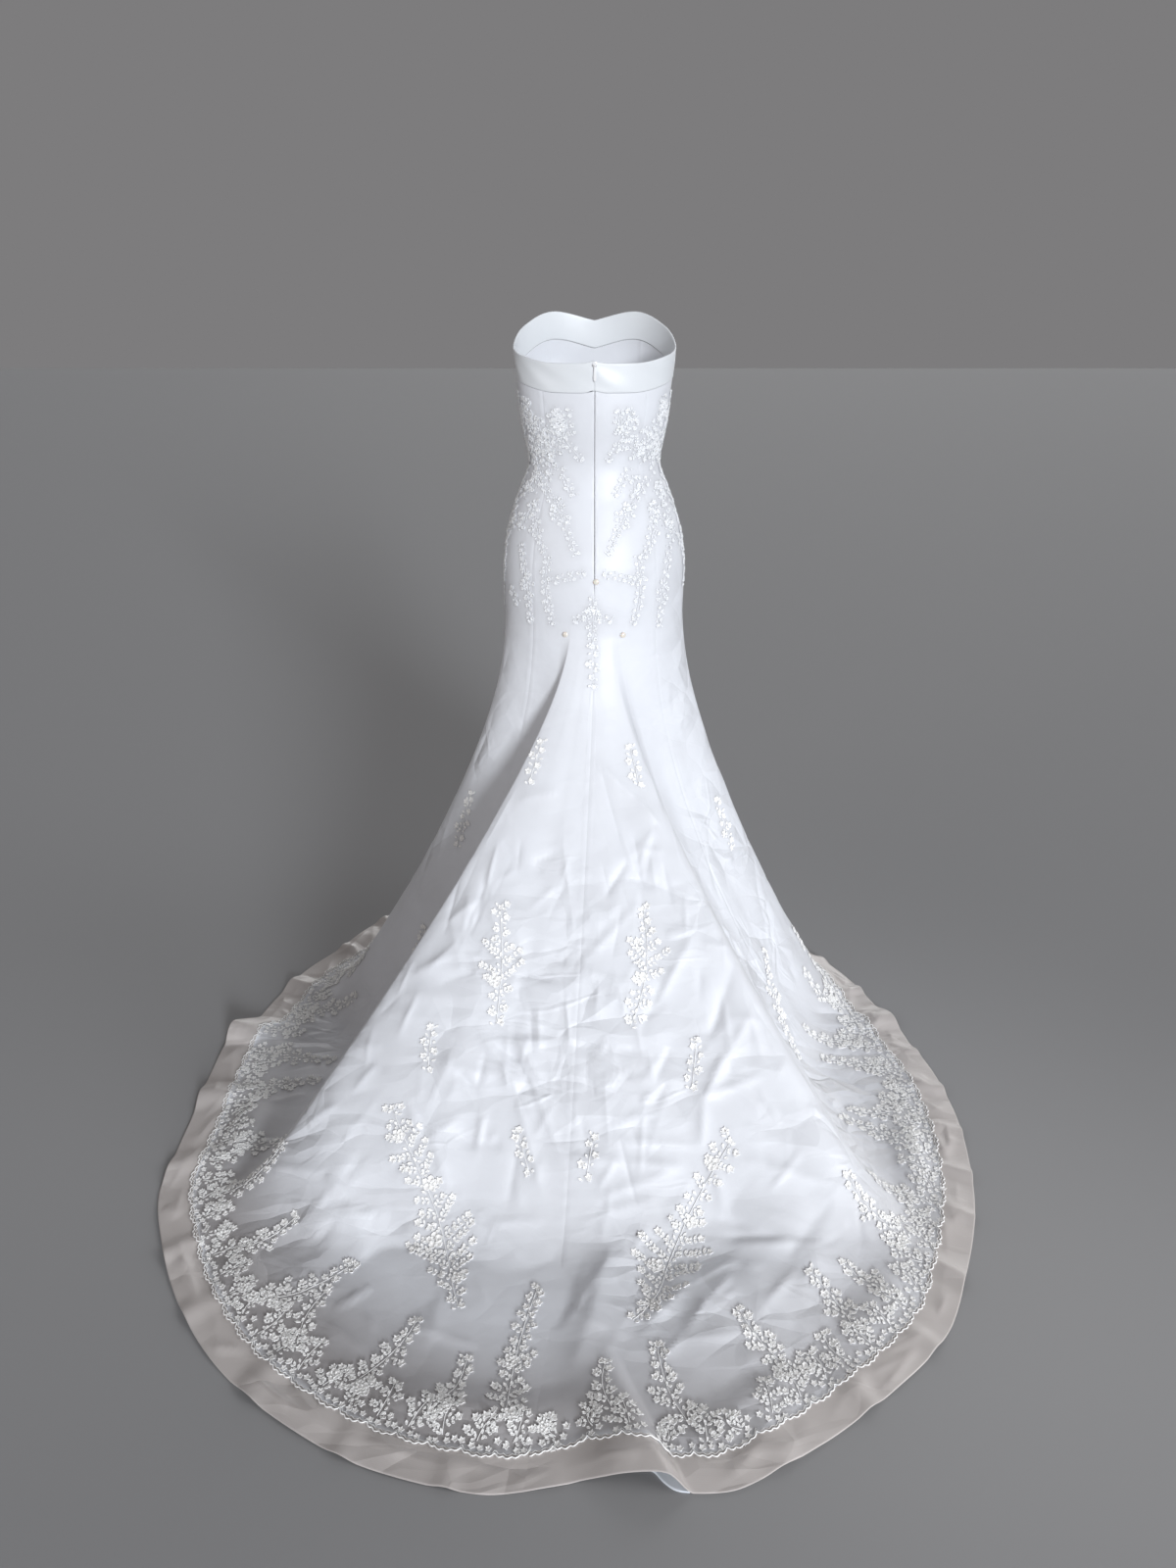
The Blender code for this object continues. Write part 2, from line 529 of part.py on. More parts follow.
def sheet_solid(rows, normals, low, high, fan=None):
    """Points and faces of a wall between two distances from the middle surface."""
    middle, normal = np.concatenate(rows), np.concatenate(normals)
    outer, inner = middle + normal * high, middle + normal * low
    faces = cells(rows, fan)
    count = len(middle)
    edge = rim(rows)
    solid = list(faces)
    solid += [(a + count, c + count, b + count) for a, b, c in faces]
    for here, after in zip(edge, edge[1:] + edge[:1]):
        solid.append((here, here + count, after + count))
        solid.append((here, after + count, after))
    points = np.concatenate((outer, inner))
    points[:, 2] = np.maximum(points[:, 2], 0.0)
    return points, solid


def skirt_point(hem_azimuth, from_hem):
    """The point of the cloth's middle at a hem azimuth and distance from the hem."""
    line = skirt_meridian(float(hem_azimuth))
    run = np.concatenate(([0.0], np.cumsum(np.linalg.norm(np.diff(line, axis=0), axis=1))))
    return np.array([np.interp(run[-1] - from_hem, run, line[:, axis]) for axis in range(3)])


def body_point(azimuth, height):
    """The point of the cloth's middle at a body azimuth and a height."""
    x, y = ring(azimuth, height)
    return np.array((float(x), float(y), height))


def prism(name, outline, direction, depth):
    """A closed prism about an outline, reaching a depth to both sides of it."""
    outline = np.array(outline)
    direction = np.array(direction) / np.linalg.norm(direction)
    outline -= np.outer((outline - outline.mean(axis=0)) @ direction, direction)
    count = len(outline)
    area = sum(np.cross(outline[i] - outline[0], outline[(i + 1) % count] - outline[0])
               for i in range(count))
    if np.dot(area, direction) < 0.0:
        outline = outline[::-1]
    points = np.concatenate((outline + direction * depth, outline - direction * depth))
    faces = [tuple(range(count)), tuple(range(2 * count - 1, count - 1, -1))]
    faces += [(i, i + count, (i + 1) % count + count, (i + 1) % count) for i in range(count)]
    return add_object(name, points, faces, LACE, smooth=False)


def carve(thing, tool, operation):
    """Join a tool to an object or cut with it, remove the tool and clean the result."""
    cut = thing.modifiers.new("cut", "BOOLEAN")
    cut.operation, cut.solver, cut.object = operation, "EXACT", tool
    shape = thing.evaluated_get(bpy.context.evaluated_depsgraph_get())
    mesh = bpy.data.meshes.new_from_object(shape)
    thing.modifiers.clear()
    work = bmesh.new()
    work.from_mesh(mesh)
    bmesh.ops.remove_doubles(work, verts=work.verts, dist=1e-6)
    bmesh.ops.dissolve_degenerate(work, edges=work.edges, dist=1e-6)
    bmesh.ops.dissolve_limit(work, angle_limit=math.radians(FLAT_ANGLE), verts=work.verts,
                             edges=work.edges)
    bmesh.ops.triangulate(work, faces=work.faces)
    work.to_mesh(mesh)
    work.free()
    mesh.shade_smooth()
    mesh.set_sharp_from_angle(angle=math.radians(40.0))
    thing.data = mesh
    bpy.data.objects.remove(tool, do_unlink=True)


def make_panels(cloth):
    """The seven panels, each from the band down to the hem."""
    for index, (place, _, _, _, _) in enumerate(PANELS):
        rows, normals, fan = cloth.part(cloth.seams[index], cloth.seams[index + 1])
        points, faces = sheet_solid(rows, normals, -0.5 * WALL, 0.5 * WALL, fan)
        add_object("panel_" + place, points, faces, SATIN)


def make_bands(cloth):
    """The folded band round the top, in three pieces."""
    for place, first, last in BANDS:
        columns = range(cloth.seams[first], cloth.seams[last] + 1)
        azimuths = np.array([cloth.azimuth(column) for column in columns])
        top = top_height(azimuths)
        rows, normals = [], []
        for row in range(BAND_ROWS + 1):
            height = top - BAND_HEIGHT * row / BAND_ROWS
            x, y = ring(azimuths, height)
            ahead_x, ahead_y = ring(azimuths + 0.5, height)
            normal = np.stack((-(ahead_y - y), ahead_x - x, np.zeros_like(x)), axis=1)
            normal /= np.linalg.norm(normal, axis=1)[:, None]
            rows.append(np.stack((x, y, height), axis=1))
            normals.append(normal)
        for row in rows:
            for edge, inner in ((0, 1), (-1, -2)):
                along = row[inner] - row[edge]
                row[edge] += along / np.linalg.norm(along) * 0.5 * GAP
        points, faces = sheet_solid(rows, normals, BAND_LIFT - 0.5 * BAND_WALL,
                                    BAND_LIFT + 0.5 * BAND_WALL)
        add_object("band_" + place, points, faces, BAND_SATIN)


def lace_layer(cloth, name, first, last, rows_from, inset):
    """A thin wall just outside the cloth, from which lace is cut."""
    rows, normals, fan = cloth.part(first, last, inset, rows_from)
    low = 0.5 * WALL + GAP
    points, faces = sheet_solid(rows, normals, low, low + LACE_WALL, fan)
    return add_object(name, points, faces, LACE)


def border_outline(first, last):
    """The lace border's outline between two hem azimuths, seen from above."""
    outer, azimuth, lobe = [], first, 0
    while azimuth < last:
        radius = float(smooth_curve(HEM, 1, azimuth, 360.0))
        step = math.degrees(SCALLOP_PITCH / 3.0 / radius)
        depth = 0.0 if lobe % 3 == 0 else SCALLOP_DEPTH
        outer.append(skirt_point(azimuth, LACE_EDGE + 0.5 * SCALLOP_DEPTH - depth))
        azimuth += step
        lobe += 1
    inner = [skirt_point(first, LACE_BASE)]
    turns = [row for shift in (-360.0, 0.0, 360.0) for row in
             [(r[0] + shift, r[1], r[2], r[3]) for r in BRANCHES]]
    for foot, lean, tip, half in sorted(turns):
        if first + half < foot < last - half:
            middle = 0.5 * (LACE_BASE + tip)
            inner += [skirt_point(foot - half, LACE_BASE),
                      skirt_point(foot - 0.9 * half + 0.4 * lean, middle),
                      skirt_point(foot + lean, tip),
                      skirt_point(foot + 0.9 * half + 0.4 * lean, middle),
                      skirt_point(foot + half, LACE_BASE)]
    inner.append(skirt_point(last, LACE_BASE))
    return outer + inner[::-1]


def hole_tool(name, first, last):
    """Four-sided prisms, one for each of the border's largest gaps."""
    points, faces, azimuth = [], [], first
    up = np.array((0.0, 0.0, 0.5))
    while azimuth < last:
        centre = skirt_point(azimuth, LACE_HOLE_LINE)
        inward = skirt_point(azimuth, LACE_HOLE_LINE + 0.02) - centre
        inward[2] = 0.0
        inward /= np.linalg.norm(inward)
        across = np.array((inward[1], -inward[0], 0.0))
        corners = [centre + LACE_HOLE_RADIUS * (math.cos(turn) * inward + math.sin(turn) * across)
                   for turn in np.radians(np.arange(4) * 90.0)]
        start = len(points)
        points += [corner + up for corner in corners] + [corner - up for corner in corners]
        faces.append(tuple(start + 3 - i for i in range(4)))
        faces.append(tuple(start + 4 + i for i in range(4)))
        faces += [(start + i, start + (i + 1) % 4, start + (i + 1) % 4 + 4, start + i + 4)
                  for i in range(4)]
        azimuth += math.degrees(LACE_HOLE_PITCH / float(smooth_curve(HEM, 1, azimuth, 360.0)))
    return add_object(name, points, faces, LACE, smooth=False)


def make_border(cloth):
    """The scalloped lace border, one piece on each panel."""
    for index, (place, _, _, _, _) in enumerate(PANELS):
        first, last = cloth.seams[index], cloth.seams[index + 1]
        start, end = cloth.hem_azimuth(first), cloth.hem_azimuth(last)
        border = lace_layer(cloth, "lace_border_" + place, first, last,
                            len(cloth.rows) - len(FLOOR_ROWS) - 1, 0.5 * GAP)
        outline = border_outline(start - OUTLINE_MARGIN, end + OUTLINE_MARGIN)
        carve(border, prism("border_tool", outline, (0.0, 0.0, 1.0), PLAN_CUT), "INTERSECT")
        holes = hole_tool("hole_tool", start + LACE_HOLE_MARGIN, end - LACE_HOLE_MARGIN)
        carve(border, holes, "DIFFERENCE")


def spray_outline(path, normal, reach, pairs):
    """A leafy outline about a stem: leaf tips alternate with notches on both sides."""
    left, right = [], []
    count = 2 * pairs
    for station in range(count + 1):
        share = station / count
        here = path(share)
        along = path(min(share + 0.02, 1.0)) - path(max(share - 0.02, 0.0))
        side = np.cross(normal, along)
        side /= np.linalg.norm(side)
        swell = reach * math.sin(math.pi * (STEM_START + STEM_SWELL * share))
        leaf_left = swell * (1.0 if station % 2 else LEAF_NOTCH)
        leaf_right = swell * (LEAF_NOTCH if station % 2 else LEAF_RIGHT)
        left.append(here + side * leaf_left)
        right.append(here - side * leaf_right)
    return left + right[::-1]


def spray_normal(place, azimuth, distance):
    """The cloth's outward normal under the middle of a spray."""
    middle = place(azimuth, distance)
    normal = np.cross(place(azimuth + 1.0, distance) - middle,
                      place(azimuth, distance + 0.01) - middle)
    outward = middle - np.array((0.0, 0.0, middle[2] - 0.3))
    return normal / np.linalg.norm(normal) * math.copysign(1.0, np.dot(normal, outward))


def stem_path(place, head, foot, normal, bow):
    """A function that gives a stem's point at a share of its length."""
    run = place(*foot) - place(*head)
    side = np.cross(normal, run)
    side /= np.linalg.norm(side)

    def path(share):
        point = place(*(start + (end - start) * share for start, end in zip(head, foot)))
        return point + side * bow * math.sin(math.pi * share)

    return path


def make_sprays(cloth):
    """The separate lace sprays, each cut from the thin wall over the cloth."""
    layers = {
        "left": (0, cloth.seams[3]), "right": (cloth.seams[4], cloth.seams[7]),
        "front": (cloth.seams[2], cloth.seams[5]),
        "center": (cloth.seams[6] - cloth.seams[7], cloth.seams[1]),
    }
    for table, place, rows_from in ((SKIRT_SPRAYS, skirt_point, BODY_ROWS - 1),
                                    (BODY_SPRAYS, body_point, 0)):
        for name, head_turn, head, foot_turn, foot, bow, reach, pairs in table:
            normal = spray_normal(place, 0.5 * (head_turn + foot_turn), 0.5 * (head + foot))
            path = stem_path(place, (head_turn, head), (foot_turn, foot), normal, bow)
            zone = "left" if head_turn > 0.0 else "right"
            if abs(head_turn) < CENTER_ZONE:
                zone = "center"
            if "front" in name:
                zone = "front"
            spray = lace_layer(cloth, name, *layers[zone], rows_from, 0.0)
            outline = spray_outline(path, normal, reach, pairs)
            carve(spray, prism("spray_tool", outline, normal, SPRAY_CUT), "INTERSECT")


def turned(name, profile, sides, origin, axis, finish):
    """A solid turned about an axis from a profile of (distance along it, radius)."""
    axis = np.array(axis) / np.linalg.norm(axis)
    side = np.cross(axis, (0.0, 0.0, 1.0))
    if np.linalg.norm(side) < 1e-3:
        side = np.array((1.0, 0.0, 0.0))
    side /= np.linalg.norm(side)
    across = np.cross(axis, side)
    points, faces = [], []
    for along, radius in profile:
        for turn in np.arange(sides) * 2.0 * math.pi / sides:
            points.append(np.array(origin) + axis * along
                          + radius * (math.cos(turn) * side + math.sin(turn) * across))
    for ring_index in range(len(profile) - 1):
        start = ring_index * sides
        for i in range(sides):
            after = (i + 1) % sides
            faces.append((start + i, start + after, start + after + sides, start + i + sides))
    faces.append(tuple(range(sides - 1, -1, -1)))
    last = (len(profile) - 1) * sides
    faces.append(tuple(last + i for i in range(sides)))
    return add_object(name, points, faces, finish)


def make_buttons(cloth):
    """Three domed pearl buttons, each just clear of the cloth."""
    for name, azimuth, height in BUTTONS:
        centre, normal = cloth.facet(azimuth, height)
        start = 0.5 * WALL + 2.0 * GAP
        profile = [(start, 0.6 * BUTTON_RADIUS), (start + 0.0012, 0.98 * BUTTON_RADIUS)]
        for step in range(4):
            turn = math.radians(22.0 * step)
            profile.append((start + 0.0018 + (BUTTON_HEIGHT - 0.0018) * math.sin(turn),
                            BUTTON_RADIUS * math.cos(turn)))
        turned(name, profile, BUTTON_SIDES, centre, normal, PEARL)


def box(name, low, high, finish):
    """An upright box between two corners."""
    (x0, y0, z0), (x1, y1, z1) = low, high
    points = [(x, y, z) for z in (z0, z1) for y in (y0, y1) for x in (x0, x1)]
    faces = [(0, 2, 3, 1), (4, 5, 7, 6), (0, 1, 5, 4), (2, 6, 7, 3), (0, 4, 6, 2), (1, 3, 7, 5)]
    return add_object(name, points, faces, finish, smooth=False)


def make_zip(cloth):
    """The coil behind the seam, the slider at its top and the hanging pull tab."""
    seam = [(float(top_height(0.0)) - BAND_HEIGHT * row / BAND_ROWS) for row in range(BAND_ROWS)]
    seam = [(height, float(ring(0.0, height)[1])) for height in seam]
    seam += [(row[0][2], row[0][1]) for row in cloth.rows[:BODY_ROWS]]
    seam = np.array(seam)
    heights = [ZIP_TOP] + [h for h in seam[:, 0] if ZIP_END < h < ZIP_TOP] + [ZIP_END]
    rows, normals = [], []
    for height in heights:
        above, here, below = (float(np.interp(height + shift, seam[::-1, 0], seam[::-1, 1]))
                              for shift in (0.01, 0.0, -0.01))
        normal = np.array((0.0, 1.0, (below - above) / 0.02))
        normal /= np.linalg.norm(normal)
        centre = np.array((0.0, here, height)) - normal * COIL_DEPTH
        side = np.array((0.5 * COIL_WIDTH, 0.0, 0.0))
        rows.append(np.array((centre - side, centre + side)))
        normals.append(np.array((normal, normal)))
    points, faces = sheet_solid(rows, normals, -0.5 * COIL_THICK, 0.5 * COIL_THICK)
    add_object("zip_coil", points, faces, ZIP_TAPE)

    top = float(top_height(0.0)) - SLIDER_TOP_DROP
    low = top - SLIDER_TALL
    face = float(ring(0.0, low)[1]) + BAND_LIFT + 0.5 * BAND_WALL + GAP
    half = 0.5 * SLIDER_WIDTH
    pin_y = face + SLIDER_THICK + KNUCKLE_CLEAR + KNUCKLE_RADIUS
    pin_z = 0.5 * (top + low)
    slider = box("zip_slider", (-half, face, low), (half, face + SLIDER_THICK, top), ZIP_METAL)
    for sign in (-1.0, 1.0):
        inner, outer = sign * EAR_INNER, sign * (EAR_INNER + EAR_THICK)
        ear = box("ear_tool",
                  (min(inner, outer), face + 0.5 * SLIDER_THICK, pin_z - EAR_HALF),
                  (max(inner, outer), pin_y + EAR_BEYOND_PIN, pin_z + EAR_HALF), ZIP_METAL)
        carve(slider, ear, "UNION")
    reach = EAR_INNER + 0.7 * EAR_THICK
    pin = turned("pin_tool", ((-reach, PIN_RADIUS), (reach, PIN_RADIUS)), 12,
                 (0.0, pin_y, pin_z), (1.0, 0.0, 0.0), ZIP_METAL)
    carve(slider, pin, "UNION")

    outline = [(half_width, pin_y, pin_z - drop) for drop, half_width in TAB]
    outline += [(-half_width, pin_y, pin_z - drop) for drop, half_width in TAB[::-1]]
    tab = prism("zip_pull_tab", outline, (0.0, 1.0, 0.0), 0.5 * TAB_THICK)
    knuckle = turned("knuckle_tool", ((-KNUCKLE_HALF, KNUCKLE_RADIUS),
                                      (KNUCKLE_HALF, KNUCKLE_RADIUS)), 20,
                     (0.0, pin_y, pin_z), (1.0, 0.0, 0.0), ZIP_METAL)
    carve(tab, knuckle, "UNION")
    bore = turned("bore_tool", ((-0.004, BORE_RADIUS), (0.004, BORE_RADIUS)), 20,
                  (0.0, pin_y, pin_z), (1.0, 0.0, 0.0), ZIP_METAL)
    carve(tab, bore, "DIFFERENCE")
    set_finish(tab, ZIP_METAL)
    hinge = Vector((0.0, pin_y, pin_z - WAIST_HEIGHT))
    tab.data.transform(Matrix.Translation(-hinge))
    tab.location = hinge


def make_lining():
    """The lining's hem on the floor, where the lifted wave leaves it in sight."""
    outline = [floor_point(azimuth, outer) for azimuth, outer, _ in LINING_EDGE]
    outline += [floor_point(azimuth, inner) for azimuth, _, inner in LINING_EDGE[::-1]]
    points = [(float(x), float(y), 0.5 * LINING_WALL) for x, y in outline]
    piece = prism("lining_hem", points, (0.0, 0.0, 1.0), 0.5 * LINING_WALL)
    set_finish(piece, LINING)


def main():
    """Build every piece in the order it is sewn."""
    for thing in list(bpy.data.objects):
        bpy.data.objects.remove(thing, do_unlink=True)
    cloth = Cloth()
    make_panels(cloth)
    make_bands(cloth)
    make_border(cloth)
    make_sprays(cloth)
    make_lining()
    make_zip(cloth)
    make_buttons(cloth)


main()
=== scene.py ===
"""Looks of a strapless trumpet wedding gown with a chapel train, worn form, seen from behind.

The cloth is one grid of meridians: each runs from under the folded band, down the fitted
body to the knee ring, out over the skirt and along the floor to the hem. The panels are
cut from that grid, and all lace, beads and seams are laid on it.

Lengths are metres, heights in the tables are above the floor, +X is the wearer's left and
+Y the side of the train. Finished meshes are shifted down by the waist's height, because
the frame's origin is the centre of the waist.
"""
import json
import logging
import math
from dataclasses import dataclass, field
from enum import Enum
from typing import Callable, Iterable, NamedTuple, Sequence

import bpy
import numpy as np
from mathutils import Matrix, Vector

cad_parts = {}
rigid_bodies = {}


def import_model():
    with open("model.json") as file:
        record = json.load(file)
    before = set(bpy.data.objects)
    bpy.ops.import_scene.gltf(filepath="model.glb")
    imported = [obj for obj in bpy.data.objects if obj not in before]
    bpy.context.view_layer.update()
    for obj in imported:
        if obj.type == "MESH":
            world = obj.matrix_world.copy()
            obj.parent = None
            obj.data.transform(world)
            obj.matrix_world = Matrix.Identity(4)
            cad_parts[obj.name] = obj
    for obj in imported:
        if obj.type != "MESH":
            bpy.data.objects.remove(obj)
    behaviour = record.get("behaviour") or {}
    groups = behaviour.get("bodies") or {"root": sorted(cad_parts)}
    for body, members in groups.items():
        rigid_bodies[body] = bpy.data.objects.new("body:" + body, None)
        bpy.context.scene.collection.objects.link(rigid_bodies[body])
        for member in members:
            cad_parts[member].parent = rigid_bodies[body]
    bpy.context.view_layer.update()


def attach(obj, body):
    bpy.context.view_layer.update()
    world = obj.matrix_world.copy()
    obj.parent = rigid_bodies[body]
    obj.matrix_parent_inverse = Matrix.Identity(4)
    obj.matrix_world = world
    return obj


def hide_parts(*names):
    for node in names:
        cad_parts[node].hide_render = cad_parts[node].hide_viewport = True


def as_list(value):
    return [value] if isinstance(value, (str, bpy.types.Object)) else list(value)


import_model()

Array = np.ndarray
Piece = bpy.types.Object
Material = bpy.types.Material
Node = bpy.types.Node
Socket = bpy.types.NodeSocket
Tree = bpy.types.NodeTree
log = logging.getLogger("gown")

# ---- the cut, as in the frame
WAIST_HEIGHT = 1.127
KNEE_HEIGHT = 0.82
WALL = 0.0020
BAND_WALL = 0.0030
BAND_HEIGHT = 0.049
# How far the band's middle layer stands off the body, and the gap at its foot and ends.
BAND_LIFT = 0.0009
GAP = 0.0003
# The skirt's azimuths turn about this point of the floor.
SKIRT_POLE_Y = 0.30
# From the hem up to the edge of the lace border.
LACE_EDGE = 0.057
# Distance between a meridian's stations, and the length over which its bends are rounded.
STEP = 0.006
SOFTEN = 0.055

# Body sections: height, half width, back depth, front depth.
BODY = (
    (1.4, 0.15, 0.088, 0.12), (1.32, 0.142, 0.09, 0.118), (1.25, 0.1357, 0.092, 0.118),
    (1.196, 0.1294, 0.09, 0.108), (1.162, 0.1221, 0.086, 0.098), (1.127, 0.1176, 0.083, 0.092),
    (1.0825, 0.1336, 0.09, 0.1), (1.0475, 0.1467, 0.102, 0.106), (1.0115, 0.1584, 0.114, 0.11),
    (0.9766, 0.1654, 0.124, 0.113), (0.94, 0.1694, 0.131, 0.114), (0.884, 0.17, 0.133, 0.114),
    (0.85, 0.1684, 0.13, 0.113), (0.818, 0.168, 0.126, 0.112), (0.77, 0.169, 0.123, 0.113),
)
# Bust cups: azimuth and height of their middle, reach in degrees and in metres, depth,
# and the share of it that goes sideways.
CUP_AZIMUTH, CUP_HEIGHT = 142.0, 1.288
CUP_WIDTH, CUP_TALL, CUP_DEPTH, CUP_ASIDE = 21.0, 0.052, 0.017, 0.3

# Top edge: body azimuth from the centre back, height.
TOP_EDGE = (
    (0, 1.3085), (9, 1.305), (30, 1.3045), (60, 1.313), (90, 1.326), (120, 1.356), (150, 1.378),
    (180, 1.362),
)

# Where the meridian of a body azimuth meets the hem: body azimuth, hem azimuth.
AZIMUTHS = (
    (-180, -180), (-90, -128), (-42, -92), (-10, -46), (0, 6), (13, 58), (42, 97), (90, 128),
    (180, 180),
)

# Hem on the floor: azimuth about the pole, radius.
HEM = (
    (-180, 0.79), (-169, 0.765), (-157, 0.738), (-145, 0.696), (-131.2, 0.644), (-121.9, 0.641),
    (-115.5, 0.638), (-108, 0.634), (-102.9, 0.645), (-96.5, 0.645), (-89.9, 0.661), (-83.9, 0.675),
    (-78.9, 0.688), (-68.5, 0.718), (-56.3, 0.763), (-47.4, 0.799), (-38, 0.846), (-27.2, 0.874),
    (-15.8, 0.912), (-10.8, 0.928), (-7.5, 0.922), (-4.8, 0.908), (0.8, 0.898), (4, 0.909),
    (9.7, 0.928), (18.3, 0.931), (27.5, 0.921), (37.3, 0.905), (45.2, 0.885), (56.1, 0.853),
    (63.7, 0.833), (70.2, 0.797), (78.9, 0.765), (89.3, 0.752), (98, 0.75), (102.5, 0.718),
    (111.5, 0.72), (119.3, 0.726), (125.4, 0.723), (135.2, 0.747), (146, 0.771), (157.7, 0.785),
    (169, 0.789),
)

# Skirt folds: hem azimuth, radius where the cloth meets the floor, how far the meridian
# hangs straight before it swings out (1 is a straight line).
FOLDS = (
    (-180, 0.75, 1.3), (-165, 0.69, 1.55), (-150, 0.69, 1.25), (-137, 0.6, 1.6),
    (-120.5, 0.585, 1.36), (-113, 0.545, 1.45), (-100, 0.455, 1.65), (-83, 0.425, 1.75),
    (-68, 0.47, 1.7), (-58, 0.545, 1.6), (-51, 0.635, 1.52), (-46, 0.675, 1.48), (-38, 0.61, 1.42),
    (-20, 0.512, 1.38), (6, 0.485, 1.36), (24, 0.515, 1.34), (40, 0.6, 1.33), (52, 0.68, 1.33),
    (58, 0.705, 1.33), (63, 0.64, 1.42), (74, 0.49, 1.7), (88, 0.43, 1.85), (101, 0.48, 1.65),
    (112, 0.59, 1.46), (119, 0.622, 1.42), (131, 0.6, 1.6), (150, 0.735, 1.25), (165, 0.71, 1.55),
)

# Waves that lift the hem: hem azimuth, half widths in degrees towards the wearer's left
# and right, height, reach inwards, lean in degrees per metre of reach.
HEM_WAVES = (
    (-5.6, 9, 2.4, 0.031, 0.26, 22), (98.5, 5, 4.6, 0.02, 0.12, 0), (-103.5, 4.6, 6, 0.013, 0.1, 0),
)

# Where columns crowd together: hem azimuth, width in degrees, extra weight.
CROWDING = ((58, 7, 0.8), (-46, 7, 0.8), (-5, 6, 1))
CROWDING_STEPS = 400


# ---- curves and arrays
def smooth_curve(rows: Sequence[Sequence[float]], column: int, query: Array,
                 period: float = 0.0) -> Array:
    """Monotone cubic through a table's column against its first column.

    Between two rows the value is the cubic Hermite blend of both values and slopes; the
    slope at a row is the harmonic mean of its neighbours' slopes, or zero at a turn.

    Args:
        rows: the table.
        column: index of the value's column.
        query: where to read the curve.
        period: length after which the table repeats, or 0.

    Returns:
        The value at each query.
    """
    table = np.array(sorted(rows), dtype=float)
    x, y = table[:, 0], table[:, column]
    query = np.asarray(query, dtype=float)
    if period:
        query = (query - x[0]) % period + x[0]
        x = np.concatenate((x[-2:] - period, x, x[:2] + period))
        y = np.concatenate((y[-2:], y, y[:2]))
    width = np.diff(x)
    slope = np.diff(y) / width
    tangent = np.zeros_like(y)
    same = slope[1:] * slope[:-1] > 0
    total = np.where(same, slope[1:] + slope[:-1], 1.0)
    tangent[1:-1] = np.where(same, 2.0 * slope[1:] * slope[:-1] / total, 0.0)
    tangent[0], tangent[-1] = slope[0], slope[-1]
    cell = np.clip(np.searchsorted(x, query, side="right") - 1, 0, len(x) - 2)
    t = (query - x[cell]) / width[cell]
    t2, t3 = t * t, t * t * t
    return ((2 * t3 - 3 * t2 + 1) * y[cell] + (t3 - 2 * t2 + t) * width[cell] * tangent[cell]
            + (-2 * t3 + 3 * t2) * y[cell + 1] + (t3 - t2) * width[cell] * tangent[cell + 1])


def wrap(angle: Array) -> Array:
    """An azimuth in degrees brought into -180 to 180."""
    return (np.asarray(angle, dtype=float) + 180.0) % 360.0 - 180.0


def hump(distance: Array, width: Array) -> Array:
    """A raised cosine: 1 at distance 0 and nothing beyond twice the width."""
    reach = np.clip(np.abs(distance) / (2.0 * width), 0.0, 1.0)
    return 0.5 + 0.5 * np.cos(math.pi * reach)


def unit(vectors: Array) -> Array:
    """Vectors scaled to length 1 along the last axis."""
    return vectors / np.maximum(np.linalg.norm(vectors, axis=-1, keepdims=True), 1e-12)


def run_length(lines: Array) -> Array:
    """Distance along each line from its first point, for lines of shape (n, k, 3)."""
    steps = np.linalg.norm(np.diff(lines, axis=1), axis=2)
    return np.concatenate((np.zeros((len(lines), 1)), np.cumsum(steps, axis=1)), axis=1)


def interp_rows(marks: Array, run: Array, values: Array) -> Array:
    """Linear interpolation of many tables at once.

    Every row's marks and stations are shifted by its own multiple of one length that is
    longer than any row, so that one call reads all of them.

    Args:
        marks: (n, m) places to read.
        run: (n, k) rising stations.
        values: (n, k) values, or (n, k, 3) points.

    Returns:
        (n, m) values or (n, m, 3) points.
    """
    span = float(run.max()) + 1.0
    shift = np.arange(len(run))[:, None] * span
    where = (np.clip(marks, run[:, :1], run[:, -1:]) + shift).ravel()
    stations = (run + shift).ravel()
    if values.ndim == 2:
        return np.interp(where, stations, values.ravel()).reshape(marks.shape)
    return np.stack([np.interp(where, stations, values[..., axis].ravel()).reshape(marks.shape)
                     for axis in range(values.shape[2])], axis=-1)


def ring(azimuth: Array, height: Array) -> tuple[Array, Array]:
    """Plan position of the fitted body.

    x is the half width times the azimuth's sine, y the depth times its cosine, and each
    bust cup adds a Gaussian hill to both.

    Args:
        azimuth: degrees from the centre back.
        height: above the floor.

    Returns:
        x and y.
    """
    turn = np.radians(azimuth)
    depth = np.where(np.cos(turn) > 0.0, smooth_curve(BODY, 2, height),
                     smooth_curve(BODY, 3, height))
    cup = (CUP_DEPTH * np.exp(-((np.abs(wrap(azimuth)) - CUP_AZIMUTH) / CUP_WIDTH) ** 2)
           * np.exp(-((height - CUP_HEIGHT) / CUP_TALL) ** 2))
    return ((smooth_curve(BODY, 1, height) + CUP_ASIDE * cup) * np.sin(turn),
            (depth + cup) * np.cos(turn))


def floor_point(azimuth: Array, radius: Array) -> tuple[Array, Array]:
    """Plan position at a hem azimuth and a radius about the skirt's pole."""
    turn = np.radians(azimuth)
    return radius * np.sin(turn), SKIRT_POLE_Y + radius * np.cos(turn)


def top_height(azimuth: Array) -> Array:
    """Height of the band's upper edge at a body azimuth."""
    return smooth_curve(TOP_EDGE, 1, np.abs(wrap(azimuth)))


def hem_radius(azimuth: Array) -> Array:
    """Radius of the hem about the skirt's pole."""
    return smooth_curve(HEM, 1, azimuth, 360.0)


